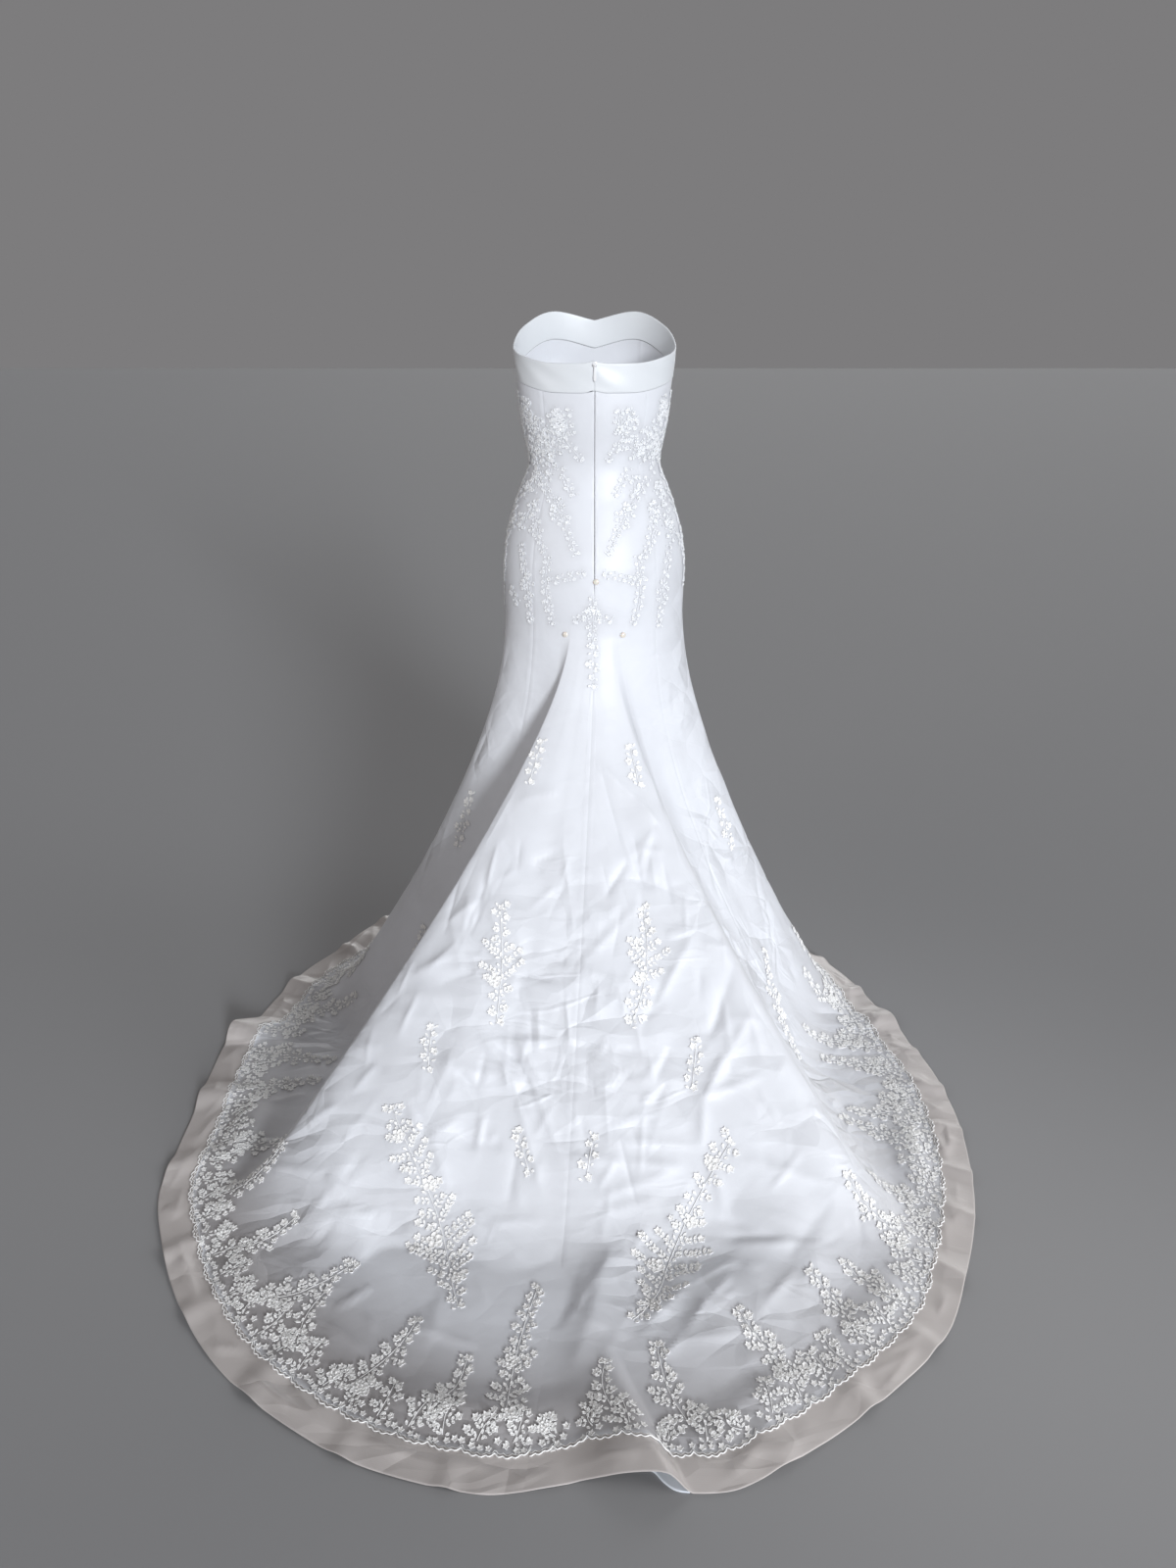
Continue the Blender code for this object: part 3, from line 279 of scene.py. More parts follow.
def body_azimuth(hem_azimuth: Array) -> Array:
    """Body azimuth at the knee ring of the meridian that ends at a hem azimuth."""
    swapped = [(row[1], row[0]) for row in AZIMUTHS]
    return smooth_curve(swapped, 1, wrap(hem_azimuth))


def spread(first: float, last: float, count: int) -> Array:
    """Hem azimuths from one seam to the next, closer together where folds are sharp.

    Args:
        first: hem azimuth of one seam.
        last: hem azimuth of the next.
        count: columns between them.

    Returns:
        count + 1 azimuths, both seams among them.
    """
    fine = np.linspace(first, last, CROWDING_STEPS)
    weight = np.ones_like(fine)
    for centre, width, extra in CROWDING:
        weight += extra * np.exp(-(wrap(fine - centre) / width) ** 2)
    total = np.concatenate(([0.0], np.cumsum(0.5 * (weight[1:] + weight[:-1]))))
    return np.interp(np.linspace(0.0, total[-1], count + 1), total, fine)


# ---- folds and creases
class Crease(NamedTuple):
    """A ridge (positive) or trough (negative) between two places on the skirt."""

    azimuth_a: float
    from_hem_a: float
    azimuth_b: float
    from_hem_b: float
    height_mm: float
    width_mm: float


# The main creases of the skirt and train, from the top down: hem azimuth and distance
# from the hem at both ends, height, half width in mm.
CREASES = (
    (50, 1.02, 29.9, 1.168, 3, 5.6), (57.1, 0.788, 33.1, 0.937, -2.7, 4.8),
    (54, 0.729, 46.4, 0.857, 3.3, 6.4), (46.4, 0.857, 38.5, 0.855, 2.7, 4.8),
    (53.8, 0.735, 40.3, 0.832, -2.7, 4.8), (54.2, 0.629, 46, 0.747, 3.9, 6.4),
    (54.2, 0.629, 41.7, 0.755, 3, 6.4), (53.7, 0.588, 38.4, 0.722, 3.3, 7.2),
    (44.5, 0.903, 38.8, 0.966, 2.2, 4.8), (19.6, 0.908, 11.5, 0.899, -3.9, 4),
    (29, 0.829, 10.7, 0.87, -4.5, 4), (33.6, 0.698, 11.5, 0.773, -3.9, 4.8),
    (33.5, 0.697, 22.4, 0.677, 3.9, 7.2), (29, 0.703, 18.7, 0.709, -4.8, 4.8),
    (35.4, 0.615, 29.4, 0.615, -5.1, 4.8), (39.7, 0.593, 20.6, 0.68, 3.6, 7.2),
    (53.9, 0.549, 24.5, 0.743, 3.6, 8.8), (23.8, 0.742, 12.3, 0.67, 4.5, 6.4),
    (21.6, 0.708, 16.2, 0.667, -3.6, 4.8), (0.6, 1.243, -31.9, 1.092, 3.6, 6.4),
    (-31.9, 1.092, -41.8, 0.957, 4.2, 6.4), (-5.6, 1.234, -16.3, 1.094, -3, 9.6),
    (-19.6, 1.046, -39.5, 0.978, 3, 4.8), (-4.9, 1.003, -18.4, 1.045, -5.4, 4.8),
    (-16.3, 1.026, -32.2, 0.92, -3.3, 4.8), (-35.3, 0.896, -47, 0.801, -2.7, 4),
    (3, 0.892, -20.6, 0.955, 3.6, 4.8), (6, 0.882, -10, 0.861, 3.6, 6.4),
    (-21.7, 0.777, -39.5, 0.783, 5.1, 7.2), (-28.5, 0.853, -39.5, 0.783, 3, 5.6),
    (-39.7, 0.752, -46.3, 0.672, 3.6, 5.6), (-46, 0.645, -32, 0.633, -6.3, 8),
    (-32.2, 0.64, -26.5, 0.667, 2.7, 4.8), (-43.7, 0.572, -27.8, 0.569, 5.1, 8),
    (6.7, 0.749, -2.3, 0.721, -3.3, 4.8), (3.6, 0.717, -9, 0.7, 3, 5.6),
    (-5, 0.711, -10.2, 0.696, -4.2, 4.8), (-6, 0.739, -14.7, 0.721, -3.3, 4.8),
    (-22.2, 0.692, -15.7, 0.66, -3.3, 5.6), (-0.7, 0.672, -12, 0.714, 3, 4.8),
    (56.7, 0.211, 48.3, 0.303, 6, 9.6), (48.3, 0.303, 43.5, 0.315, 6.6, 9.6),
    (43.5, 0.315, 35.5, 0.273, 6.9, 10.4), (50, 0.215, 42.6, 0.222, -5.1, 7.2),
    (43.1, 0.227, 43.2, 0.28, -3.6, 6.4), (42, 0.505, 37.1, 0.476, 4.5, 5.6),
    (42, 0.506, 35.7, 0.5, -3.6, 5.6), (36.6, 0.482, 31.5, 0.562, 3.9, 6.4),
    (35.5, 0.497, 29.5, 0.454, 3.6, 5.6), (31, 0.53, 25.6, 0.547, -5.1, 4.8),
    (25.9, 0.554, 21.6, 0.568, -3.6, 4.8), (22.4, 0.677, 15.4, 0.633, 3.6, 5.6),
    (19.5, 0.707, 7.8, 0.568, 3.9, 6.4), (22.3, 0.674, 11.4, 0.515, 3.9, 7.2),
    (23.6, 0.455, 12.1, 0.403, 3.9, 8), (23.2, 0.429, 10.2, 0.47, 3, 7.2),
    (34.2, 0.362, 25.3, 0.31, 6.9, 9.6), (35.8, 0.277, 30.2, 0.359, -4.2, 9.6),
    (33, 0.184, 31.5, 0.249, 4.2, 5.6), (31.1, 0.211, 26.5, 0.189, 3.6, 5.6),
    (32.5, 0.159, 26.2, 0.15, 3.6, 6.4), (22.7, 0.225, 14, 0.225, 3.3, 8.8),
    (20.1, 0.221, 13.6, 0.141, -3.3, 9.6), (56, 0.314, 53.1, 0.375, 3.6, 5.6),
    (2.1, 0.362, 6.3, 0.275, -6, 12.8), (-2.1, 0.376, 3.9, 0.268, 5.4, 11.2),
    (6.9, 0.564, -7.2, 0.556, 4.2, 5.6), (-7.2, 0.556, -19.4, 0.506, 4.2, 5.6),
    (-3.4, 0.579, -24.8, 0.504, 3.6, 5.6), (-0.6, 0.497, -4.6, 0.546, 3, 4.8),
    (-0.5, 0.48, -17.6, 0.512, 3.6, 6.4), (0.2, 0.453, -13, 0.491, 3.3, 6.4),
    (-26.9, 0.572, -39.9, 0.501, 4.2, 6.4), (-34, 0.592, -27.1, 0.571, 4.5, 6.4),
    (-27.1, 0.571, -24.1, 0.511, 4.8, 6.4), (-30.8, 0.438, -42.9, 0.263, 4.5, 8),
    (-42.5, 0.263, -29.1, 0.205, 7.5, 11.2), (-41.5, 0.26, -30.5, 0.261, -5.4, 9.6),
    (-23.9, 0.393, -27.8, 0.341, -4.2, 4.8), (-23.2, 0.365, -31.2, 0.298, -4.8, 5.6),
    (-23.8, 0.341, -35.1, 0.246, 4.2, 6.4), (-6, 0.25, -13.6, 0.322, 3.9, 6.4),
    (-13.6, 0.322, -22.5, 0.319, 4.5, 6.4), (-11, 0.246, -21.2, 0.299, 6.3, 7.2),
    (-8, 0.21, -11, 0.246, 3.9, 6.4), (-29.9, 0.235, -22.5, 0.217, 4.5, 6.4),
    (-11.1, 0.234, -20, 0.188, 3.6, 5.6), (-19.4, 0.611, -3.5, 0.597, 3.6, 6.4),
    (-19.3, 0.65, -15, 0.632, -3.3, 4.8), (2, 0.668, -15.5, 0.673, 2.7, 4.8),
    (65, 0.32, 61, 0.98, 4, 5), (70, 0.26, 64.5, 0.92, 5, 6), (76, 0.24, 69, 0.85, -5, 7),
    (83, 0.22, 75, 0.88, 5, 6), (90, 0.2, 84, 0.78, 5, 7), (98, 0.18, 93, 0.7, -5, 7),
    (-52, 0.34, -49, 0.95, 4, 5), (-57, 0.26, -52, 0.9, 5, 6), (-63, 0.22, -57, 0.82, -5, 7),
    (-71, 0.2, -64, 0.85, 5, 6), (-79, 0.2, -73, 0.75, 5, 7), (-88, 0.18, -84, 0.66, -5, 7),
    (1.2, 0.372, 4.8, 0.306, 3.9, 11.2), (6.5, 0.43, 10.5, 0.17, -9, 20),
    (-3, 0.41, 2.5, 0.18, 8, 24), (-12, 0.38, -18, 0.15, 8, 28), (-27, 0.4, -35, 0.17, 9, 28),
    (20, 0.41, 30, 0.19, -6, 26), (37, 0.36, 48, 0.2, 8, 26), (26, 0.38, 20, 0.22, 6, 24),
    (-21, 0.3, -26, 0.13, 6, 22),
)

# Under each crease lies a swell: its share of the height, and of the width.
SWELL_SHARE, SWELL_WIDTH = 0.25, 2.5

# Small creases: length, height and half width in mm, and how many are ridges. Then
# their fields: hem azimuths, distances from the hem, number.
SMALL_LENGTH, SMALL_HEIGHT, SMALL_WIDTH, RIDGE_SHARE = (0.03, 0.12), (0.9, 3.0), (2.8, 7.2), 0.6
CREASE_FIELDS = (
    (-50, 62, 0.12, 1.05, 230), (64, 180, 0.1, 0.62, 120), (-180, -52, 0.1, 0.62, 120),
)

# Creases near the hem: pitch, jitter and sweep in degrees, distances of both ends from
# the hem, height and half width in mm.
SLANT_PITCH, SLANT_JITTER, SLANT_SWEEP = 3.1, 1.2, (2.0, 7.0)
SLANT_START, SLANT_END, SLANT_HEIGHT, SLANT_WIDTH = (0.006, 0.04), (0.02, 0.065), (1, 4), (4, 11)

# Folds of the satin round the hem: hem azimuth, half width mm, height mm, reach inwards.
HEM_RIPPLES = (
    (113, 44, 12, 0.14), (97, 38, 11, 0.13), (82, 46, 12, 0.14), (68, 40, 9, 0.13),
    (54, 30, 6, 0.13), (45, 34, 5, 0.11), (33, 40, 6, 0.14), (22, 30, 4, 0.1), (12.5, 24, 4, 0.09),
    (-16, 34, 5, 0.12), (-26, 30, 6, 0.12), (-36, 26, 5, 0.1), (-46, 30, 7, 0.14),
    (-56, 22, 6, 0.1), (-64, 24, 7, 0.12), (-73, 22, 6, 0.1), (-83, 26, 8, 0.13),
    (-93, 20, 5, 0.09), (-114, 24, 8, 0.12), (-126, 28, 7, 0.12), (-139, 30, 8, 0.13),
    (-152, 26, 6, 0.1), (-168, 32, 8, 0.13), (178, 28, 6, 0.1), (164, 30, 8, 0.12),
    (151, 26, 6, 0.1), (138, 30, 8, 0.13), (127, 22, 6, 0.1),
)

# Swells of the cloth under the lace border, where the layers below pile up: hem azimuth,
# half width in degrees, distance of the crest from the hem, half reach, height mm.
SWELLS = (
    (-22, 27, 0.27, 0.14, 13), (31, 20, 0.335, 0.11, -6), (-4, 7, 0.33, 0.12, 6),
    (48, 9, 0.3, 0.12, 8), (12, 15, 0.112, 0.055, 13), (-15, 9, 0.1, 0.05, 8),
    (42, 14, 0.11, 0.06, 7), (73, 12, 0.115, 0.06, 10), (-36, 11, 0.105, 0.055, 7),
    (-66, 14, 0.105, 0.05, 8), (105, 12, 0.11, 0.055, 8), (140, 16, 0.11, 0.055, 8),
    (-110, 12, 0.105, 0.055, 8), (-145, 16, 0.11, 0.055, 8),
)


@dataclass
class GownSurface:
    """The outer face of the cloth as rows of columns, from the band's foot to the hem."""

    body_rows: int = 76
    skirt_rows: int = 236
    hem_crowding: float = 1.18
    # A meridian starts on the body, this far above the knee ring, then it drops.
    lead: float = 0.14
    lead_stations: int = 24
    drop_stations: int = 60
    # Least length of cloth that lies flat before the hem.
    least_flat: float = 0.015
    # Below this height the columns turn towards their azimuth at the knee ring.
    lean_from: float = 1.0
    # Rows above and below the knee ring that are rounded, reach and width of the mean.
    eased_rows: tuple[int, int] = (22, 34)
    ease_reach: int = 15
    ease_width: float = 5.5
    # Wander of the hem: height, reach inwards.
    hem_wander: tuple[float, float] = (0.0012, 0.06)
    # Seam: depth and width of its line, the same of its pucker, then height, width and
    # distance of the ridges that its pressed allowances make, and columns to each side.
    seam_line: tuple[float, float] = (0.4e-3, 0.0018)
    seam_pucker: tuple[float, float] = (0.3e-3, 0.014)
    seam_ridge: tuple[float, float, float] = (0.15e-3, 0.0022, 0.007)
    seam_columns: int = 8
    # Panel: place, body azimuths of its seams, columns.
    panels: tuple[tuple[str, float, float, int], ...] = (
        ("back_left", 0.0, 42.0, 176),
        ("side_back_left", 42.0, 92.0, 80),
        ("front_side_left", 92.0, 144.0, 44),
        ("front_center", 144.0, 216.0, 76),
        ("front_side_right", 216.0, 268.0, 44),
        ("side_back_right", 268.0, 318.0, 80),
        ("back_right", 318.0, 360.0, 176),
    )
    seams: list[int] = field(default_factory=lambda: [0])

    def __post_init__(self) -> None:
        """Work out the grid: columns, meridians, folds, creases and normals."""
        top, hem = [], []
        for _, first, last, count in self.panels:
            start = float(smooth_curve(AZIMUTHS, 1, wrap(first))) % 360.0
            end = start + (float(smooth_curve(AZIMUTHS, 1, wrap(last))) - start) % 360.0
            top.append(np.linspace(first, last, count + 1)[:-1])
            hem.append(spread(start, end, count)[:-1])
            self.seams.append(self.seams[-1] + count)
        self.top_azimuth = np.concatenate(top)
        self.hem_azimuth = np.concatenate(hem)
        self.columns = len(self.hem_azimuth)
        skirt = self._skirt()
        body = self._body()
        self.points = self._ease_knee(np.concatenate((body, skirt)))
        self.normals = self._normals()
        self._fold_hem()
        self._crease()
        self._press_seams()
        self.points[..., 2] = np.maximum(self.points[..., 2], 0.5 * WALL)
        self.normals = self._normals()
        self.points = self.points + 0.5 * WALL * self.normals
        self.points[..., 2] = np.maximum(self.points[..., 2], WALL)

    def _skirt(self) -> Array:
        """Rows of the skirt from the knee ring to the hem.

        A meridian leaves the knee ring, swings out by a power of its drop to where it
        touches the floor and runs flat to the hem. It is softened by a Gaussian along its
        length, and each hem wave adds a raised cosine in both directions.

        Returns:
            Points of shape (rows + 1, columns, 3).
        """
        hem = self.hem_azimuth
        azimuth = body_azimuth(hem)[:, None]
        lead = np.linspace(KNEE_HEIGHT + self.lead, KNEE_HEIGHT, self.lead_stations,
                           endpoint=False)[None, :]
        lead_x, lead_y = ring(azimuth, lead)
        knee_x, knee_y = ring(azimuth, np.full_like(azimuth, KNEE_HEIGHT))
        radius = hem_radius(hem)
        touch = np.minimum(smooth_curve(FOLDS, 1, hem, 360.0), radius - self.least_flat)
        hang = smooth_curve(FOLDS, 2, hem, 360.0)[:, None]
        touch_x, touch_y = (side[:, None] for side in floor_point(hem, touch))
        hem_x, hem_y = (side[:, None] for side in floor_point(hem, radius))
        drop = np.linspace(0.0, 1.0, self.drop_stations)[None, :]
        out = drop ** hang
        x = np.concatenate((lead_x, knee_x + (touch_x - knee_x) * out, hem_x), axis=1)
        y = np.concatenate((lead_y, knee_y + (touch_y - knee_y) * out, hem_y), axis=1)
        z = np.concatenate((np.broadcast_to(lead, lead_x.shape),
                            np.broadcast_to(KNEE_HEIGHT * (1.0 - drop), out.shape),
                            np.zeros_like(hem_x)), axis=1)
        line = np.stack((x, y, z), axis=2)
        run = run_length(line)
        count = int(run[:, -1].max() / STEP) + 1
        marks = run[:, -1:] - np.arange(count)[None, :] * STEP
        line = self._soften(interp_rows(marks, run, line))
        run = run_length(line)
        for centre, left, right, height, reach, lean in HEM_WAVES:
            off = wrap(hem[:, None] - centre - lean * run)
            side = hump(off, 0.5 * np.where(off > 0.0, left, right))
            line[..., 2] += height * side * hump(run, 0.5 * reach)
        line[..., 2] = np.maximum(line[..., 2], 0.5 * WALL)
        above = np.argmax(line[..., 2] >= KNEE_HEIGHT, axis=1)[:, None]
        low_z, high_z = (np.take_along_axis(line[..., 2], above - back, axis=1)
                         for back in (1, 0))
        low_run, high_run = (np.take_along_axis(run, above - back, axis=1) for back in (1, 0))
        share = (KNEE_HEIGHT - low_z) / (high_z - low_z)
        self.knee_run = (low_run + share * (high_run - low_run))[:, 0]
        rows = np.linspace(1.0, 0.0, self.skirt_rows + 1) ** self.hem_crowding
        self.from_hem = self.knee_run[:, None] * rows[None, :]
        # A hair is added at each station, so that they always rise.
        steady = np.arange(run.shape[1])[None, :] * 1e-9
        return interp_rows(self.from_hem, run + steady, line).transpose(1, 0, 2)

    @staticmethod
    def _soften(line: Array) -> Array:
        """Lines rounded by a Gaussian over a length of cloth, mirrored past the hem.

        Args:
            line: (columns, stations, 3) points, a STEP apart.

        Returns:
            The rounded lines.
        """
        reach = int(3 * SOFTEN / STEP)
        count = line.shape[1]
        before = 2 * line[:, :1] - line[:, reach:0:-1]
        after = np.repeat(line[:, -1:], reach, axis=1)
        padded = np.concatenate((before, line, after), axis=1)
        kernel = np.exp(-0.5 * (np.arange(-reach, reach + 1) * STEP / SOFTEN) ** 2)
        kernel /= kernel.sum()
        return sum(weight * padded[:, tap:tap + count] for tap, weight in enumerate(kernel))

    def _body(self) -> Array:
        """Rows of the fitted body, from the band's foot to above the knee ring.

        Returns:
            Points of shape (body rows, columns, 3).
        """
        top = top_height(self.top_azimuth) - BAND_HEIGHT - GAP
        share = np.linspace(0.0, 1.0, self.body_rows + 1)[:-1, None]
        self.heights = top + (KNEE_HEIGHT - top) * share
        ease = (self.lean_from - self.heights) / (self.lean_from - KNEE_HEIGHT)
        ease = np.clip(ease, 0.0, 1.0)
        ease = ease * ease * (3.0 - 2.0 * ease)
        knee = body_azimuth(self.hem_azimuth)
        self.azimuths = self.top_azimuth + wrap(knee - self.top_azimuth) * ease
        x, y = ring(self.azimuths, self.heights)
        return np.stack((x, y, self.heights), axis=2)

    def _ease_knee(self, points: Array) -> Array:
        """Round the step where the fitted body turns into the skirt.

        Rows near the joint are replaced by their Gaussian mean over neighbouring rows,
        by a share that falls off as a raised cosine.

        Args:
            points: all rows of body and skirt.

        Returns:
            The same array, eased.
        """
        reach = self.ease_reach
        kernel = np.exp(-0.5 * (np.arange(-reach, reach + 1) / self.ease_width) ** 2)
        kernel /= kernel.sum()
        above, below = self.eased_rows
        low, high = self.body_rows - above, self.body_rows + below
        mean = sum(weight * points[low + tap - reach:high + tap - reach]
                   for tap, weight in enumerate(kernel))
        share = hump(np.linspace(-1.0, 1.0, high - low), 0.5)[:, None, None]
        points[low:high] += share * (mean - points[low:high])
        return points

    def _normals(self) -> Array:
        """Outward normals: across a row, cross down a column."""
        across = np.roll(self.points, -1, axis=1) - np.roll(self.points, 1, axis=1)
        return unit(np.cross(across, np.gradient(self.points, axis=0)))

    def _skirt_push(self, lift: Array) -> None:
        """Move the skirt's rows along their normals."""
        self.points[self.body_rows:] += lift[..., None] * self.normals[self.body_rows:]

    def _fold_hem(self) -> None:
        """Add the satin's soft folds round the hem: raised cosines in both directions."""
        arc = np.radians(self.hem_azimuth) * hem_radius(self.hem_azimuth)
        from_hem = self.from_hem.T
        lift = np.zeros_like(from_hem)
        for azimuth, half_mm, height_mm, reach in HEM_RIPPLES:
            radius = float(hem_radius(azimuth))
            off = np.radians(wrap(self.hem_azimuth - azimuth)) * radius
            side = hump(off, 0.5 * half_mm * 1e-3)
            lift += height_mm * 1e-3 * side[None, :] * hump(from_hem, 0.5 * reach)
        for azimuth, half, crest, reach, height_mm in SWELLS:
            side = hump(wrap(self.hem_azimuth - azimuth), 0.5 * half)
            lift += height_mm * 1e-3 * side[None, :] * hump(from_hem - crest, 0.5 * reach)
        wander = np.sin(arc * 9.0) * np.sin(arc * 23.0 + 1.0)
        height, reach = self.hem_wander
        lift += height * (1.0 + wander)[None, :] * hump(from_hem, reach)
        self._skirt_push(lift)

    def _crease(self) -> None:
        """Press ridges and troughs: sharp along the line, fading towards both ends.

        Across the line the height falls as exp(-distance / width), over a swell that is
        a Gaussian; along the line it follows the square root of a sine. Beyond five
        widths nothing is added.
        """
        flat = self.points[self.body_rows:]
        lift = np.zeros(flat.shape[:2])
        creases = ([Crease(*row) for row in CREASES] + self._small_creases()
                   + self._hem_creases())
        ends = np.array([row[:4] for row in creases])
        starts, _ = self.sample(*self.on_skirt(ends[:, 0], ends[:, 1]))
        finishes, _ = self.sample(*self.on_skirt(ends[:, 2], ends[:, 3]))
        for crease, start, finish in zip(creases, starts, finishes):
            axis = finish - start
            length = float(np.linalg.norm(axis))
            axis /= length
            width = 1e-3 * crease.width_mm
            near = np.nonzero(np.abs(flat - 0.5 * (start + finish)).max(axis=2)
                              < 0.5 * length + 5.0 * width)
            off = flat[near] - start
            share = np.clip(off @ axis / length, 0.0, 1.0)
            aside = np.linalg.norm(off - np.outer(share * length, axis), axis=1)
            fade = np.sqrt(np.sin(math.pi * np.clip(share, 0.02, 0.98)))
            swell = SWELL_SHARE * np.exp(-(aside / (SWELL_WIDTH * width)) ** 2)
            lift[near] += 1e-3 * crease.height_mm * (np.exp(-aside / width) + swell) * fade
        self._skirt_push(lift)

    @staticmethod
    def _small_creases() -> list[Crease]:
        """Short creases scattered over the skirt, more of them on the train.

        Returns:
            The creases of all fields.
        """
        rng = np.random.default_rng(11)
        made = []
        for first, last, low, high, count in CREASE_FIELDS:
            for _ in range(count):
                azimuth, from_hem = rng.uniform(first, last), rng.uniform(low, high)
                length, turn = rng.uniform(*SMALL_LENGTH), rng.normal(0.0, 1.0)
                # Further up the skirt is narrower, and a length takes more degrees.
                radius = max(0.9 - 0.5 * from_hem, 0.35)
                sweep = math.degrees(length * math.sin(turn) / radius)
                sign = 1.0 if rng.uniform() < RIDGE_SHARE else -1.0
                made.append(Crease(azimuth, from_hem, azimuth + sweep,
                                   from_hem + length * math.cos(turn),
                                   sign * rng.uniform(*SMALL_HEIGHT),
                                   rng.uniform(*SMALL_WIDTH)))
        return made

    @staticmethod
    def _hem_creases() -> list[Crease]:
        """Soft slanting creases in the satin between the lace's edge and the hem.

        Returns:
            One crease about every three degrees.
        """
        rng = np.random.default_rng(23)
        made = []
        places = np.arange(-180.0, 180.0, SLANT_PITCH)
        for azimuth in places + rng.uniform(-SLANT_JITTER, SLANT_JITTER, len(places)):
            sweep = rng.uniform(*SLANT_SWEEP) * (1.0 if rng.uniform() < 0.5 else -1.0)
            start, end = rng.uniform(*SLANT_START), rng.uniform(*SLANT_END)
            made.append(Crease(azimuth, start, azimuth + sweep, end,
                               rng.uniform(*SLANT_HEIGHT), rng.uniform(*SLANT_WIDTH)))
        return made

    def _press_seams(self) -> None:
        """Sink the cloth at each seam, pucker it, and raise its pressed allowances."""
        (depth, width), (pucker, pucker_width) = self.seam_line, self.seam_pucker
        ridge, ridge_width, ridge_away = self.seam_ridge
        index = np.arange(self.columns)
        rows = np.arange(len(self.points))[:, None]
        for seam in self.seams[:-1]:
            gap = (index - seam + self.columns // 2) % self.columns - self.columns // 2
            near = np.nonzero(np.abs(gap) <= self.seam_columns)[0]
            line = self.points[:, seam].copy()
            aside = np.linalg.norm(self.points[:, near] - line[:, None], axis=2)
            ripple = pucker * np.sin(rows * 0.9 + np.sin(rows * 0.23) * 3.0)
            press = (-depth * np.exp(-(aside / width) ** 2)
                     + ridge * np.exp(-((aside - ridge_away) / ridge_width) ** 2)
                     + ripple * np.exp(-(aside / pucker_width) ** 2))
            self.points[:, near] += press[..., None] * self.normals[:, near]

    def sample(self, column: Array, row: Array) -> tuple[Array, Array]:
        """Point and normal of the face at fractional columns and rows, bilinearly.

        Args:
            column: fractional columns; they close into a ring.
            row: fractional rows.

        Returns:
            Points and unit normals.
        """
        column, row = np.asarray(column, dtype=float), np.asarray(row, dtype=float)
        left = np.floor(column).astype(int)
        upper = np.clip(np.floor(row).astype(int), 0, len(self.points) - 2)
        right_share = (column - left)[:, None]
        low_share = np.clip(row - upper, 0.0, 1.0)[:, None]
        a, b = left % self.columns, (left + 1) % self.columns

        def read(grid: Array) -> Array:
            """Blend the four corners of each cell.

            Args:
                grid: points or normals of the face.

            Returns:
                Its values at the places asked for.
            """
            high = grid[upper, a] * (1 - right_share) + grid[upper, b] * right_share
            low = grid[upper + 1, a] * (1 - right_share) + grid[upper + 1, b] * right_share
            return high * (1 - low_share) + low * low_share

        return read(self.points), unit(read(self.normals))

    def on_skirt(self, azimuth: Array, from_hem: Array) -> tuple[Array, Array]:
        """Fractional column and row at hem azimuths and distances from the hem.

        Args:
            azimuth: hem azimuths.
            from_hem: distances up the cloth.

        Returns:
            Columns and rows.
        """
        start = self.hem_azimuth[0]
        turn = (np.asarray(azimuth, dtype=float) - start) % 360.0 + start
        stations = np.append(self.hem_azimuth, start + 360.0)
        column = np.interp(turn, stations, np.arange(self.columns + 1))
        length = np.interp(turn, stations, np.append(self.knee_run, self.knee_run[0]))
        share = np.clip(np.asarray(from_hem, dtype=float) / length, 0.0, 1.0)
        row = self.body_rows + self.skirt_rows * (1.0 - share ** (1.0 / self.hem_crowding))
        return column, row

    def on_body(self, azimuth: Array, height: Array) -> tuple[Array, Array]:
        """Fractional column and row at body azimuths and heights above the floor.

        Args:
            azimuth: body azimuths.
            height: heights above the floor.

        Returns:
            Columns and rows.
        """
        target = np.asarray(azimuth, dtype=float) % 360.0
        height = np.asarray(height, dtype=float)
        column = np.interp(target, np.append(self.top_azimuth, 360.0),
                           np.arange(self.columns + 1))
        for _ in range(3):
            top = np.interp(column, np.arange(self.columns), self.heights[0])
            share = np.clip((top - height) / (top - KNEE_HEIGHT), 0.0, 0.999)
            row = share * self.body_rows
            nearest = np.clip(np.round(row).astype(int), 0, self.body_rows - 1)
            turns = np.concatenate((self.azimuths, self.azimuths[:, :1] + 360.0), axis=1)
            columns = np.broadcast_to(np.arange(self.columns + 1.0), turns.shape)
            column = interp_rows(target[:, None], turns[nearest], columns[nearest])[:, 0]
        return column, row

    def shift(self, column: Array, row: Array, offset: Array) -> tuple[Array, Array]:
        """Columns and rows moved over the face by an offset in space.

        The offset is split into one step across and one step down the grid by least
        squares, twice, because the grid isn't square.

        Args:
            column: fractional columns.
            row: fractional rows.
            offset: (n, 3) offsets in metres.

        Returns:
            The moved columns and rows.
        """
        target = self.sample(column, row)[0] + offset
        for _ in range(2):
            here, _ = self.sample(column, row)
            across = self.sample(column + 0.5, row)[0] - self.sample(column - 0.5, row)[0]
            down = self.sample(column, row + 0.5)[0] - self.sample(column, row - 0.5)[0]
            left = target - here
            uu, vv = (across ** 2).sum(1), (down ** 2).sum(1)
            uv = (across * down).sum(1)
            ul, vl = (across * left).sum(1), (down * left).sum(1)
            det = np.maximum(uu * vv - uv * uv, 1e-18)
            column = column + (ul * vv - vl * uv) / det
            row = np.clip(row + (vl * uu - ul * uv) / det, 0.0, len(self.points) - 1.001)
        return column, row


# ---- meshes
def to_frame(points: Array) -> Array:
    """Points given as heights above the floor, in the frame whose origin is the waist."""
    return points - np.array((0.0, 0.0, WAIST_HEIGHT))


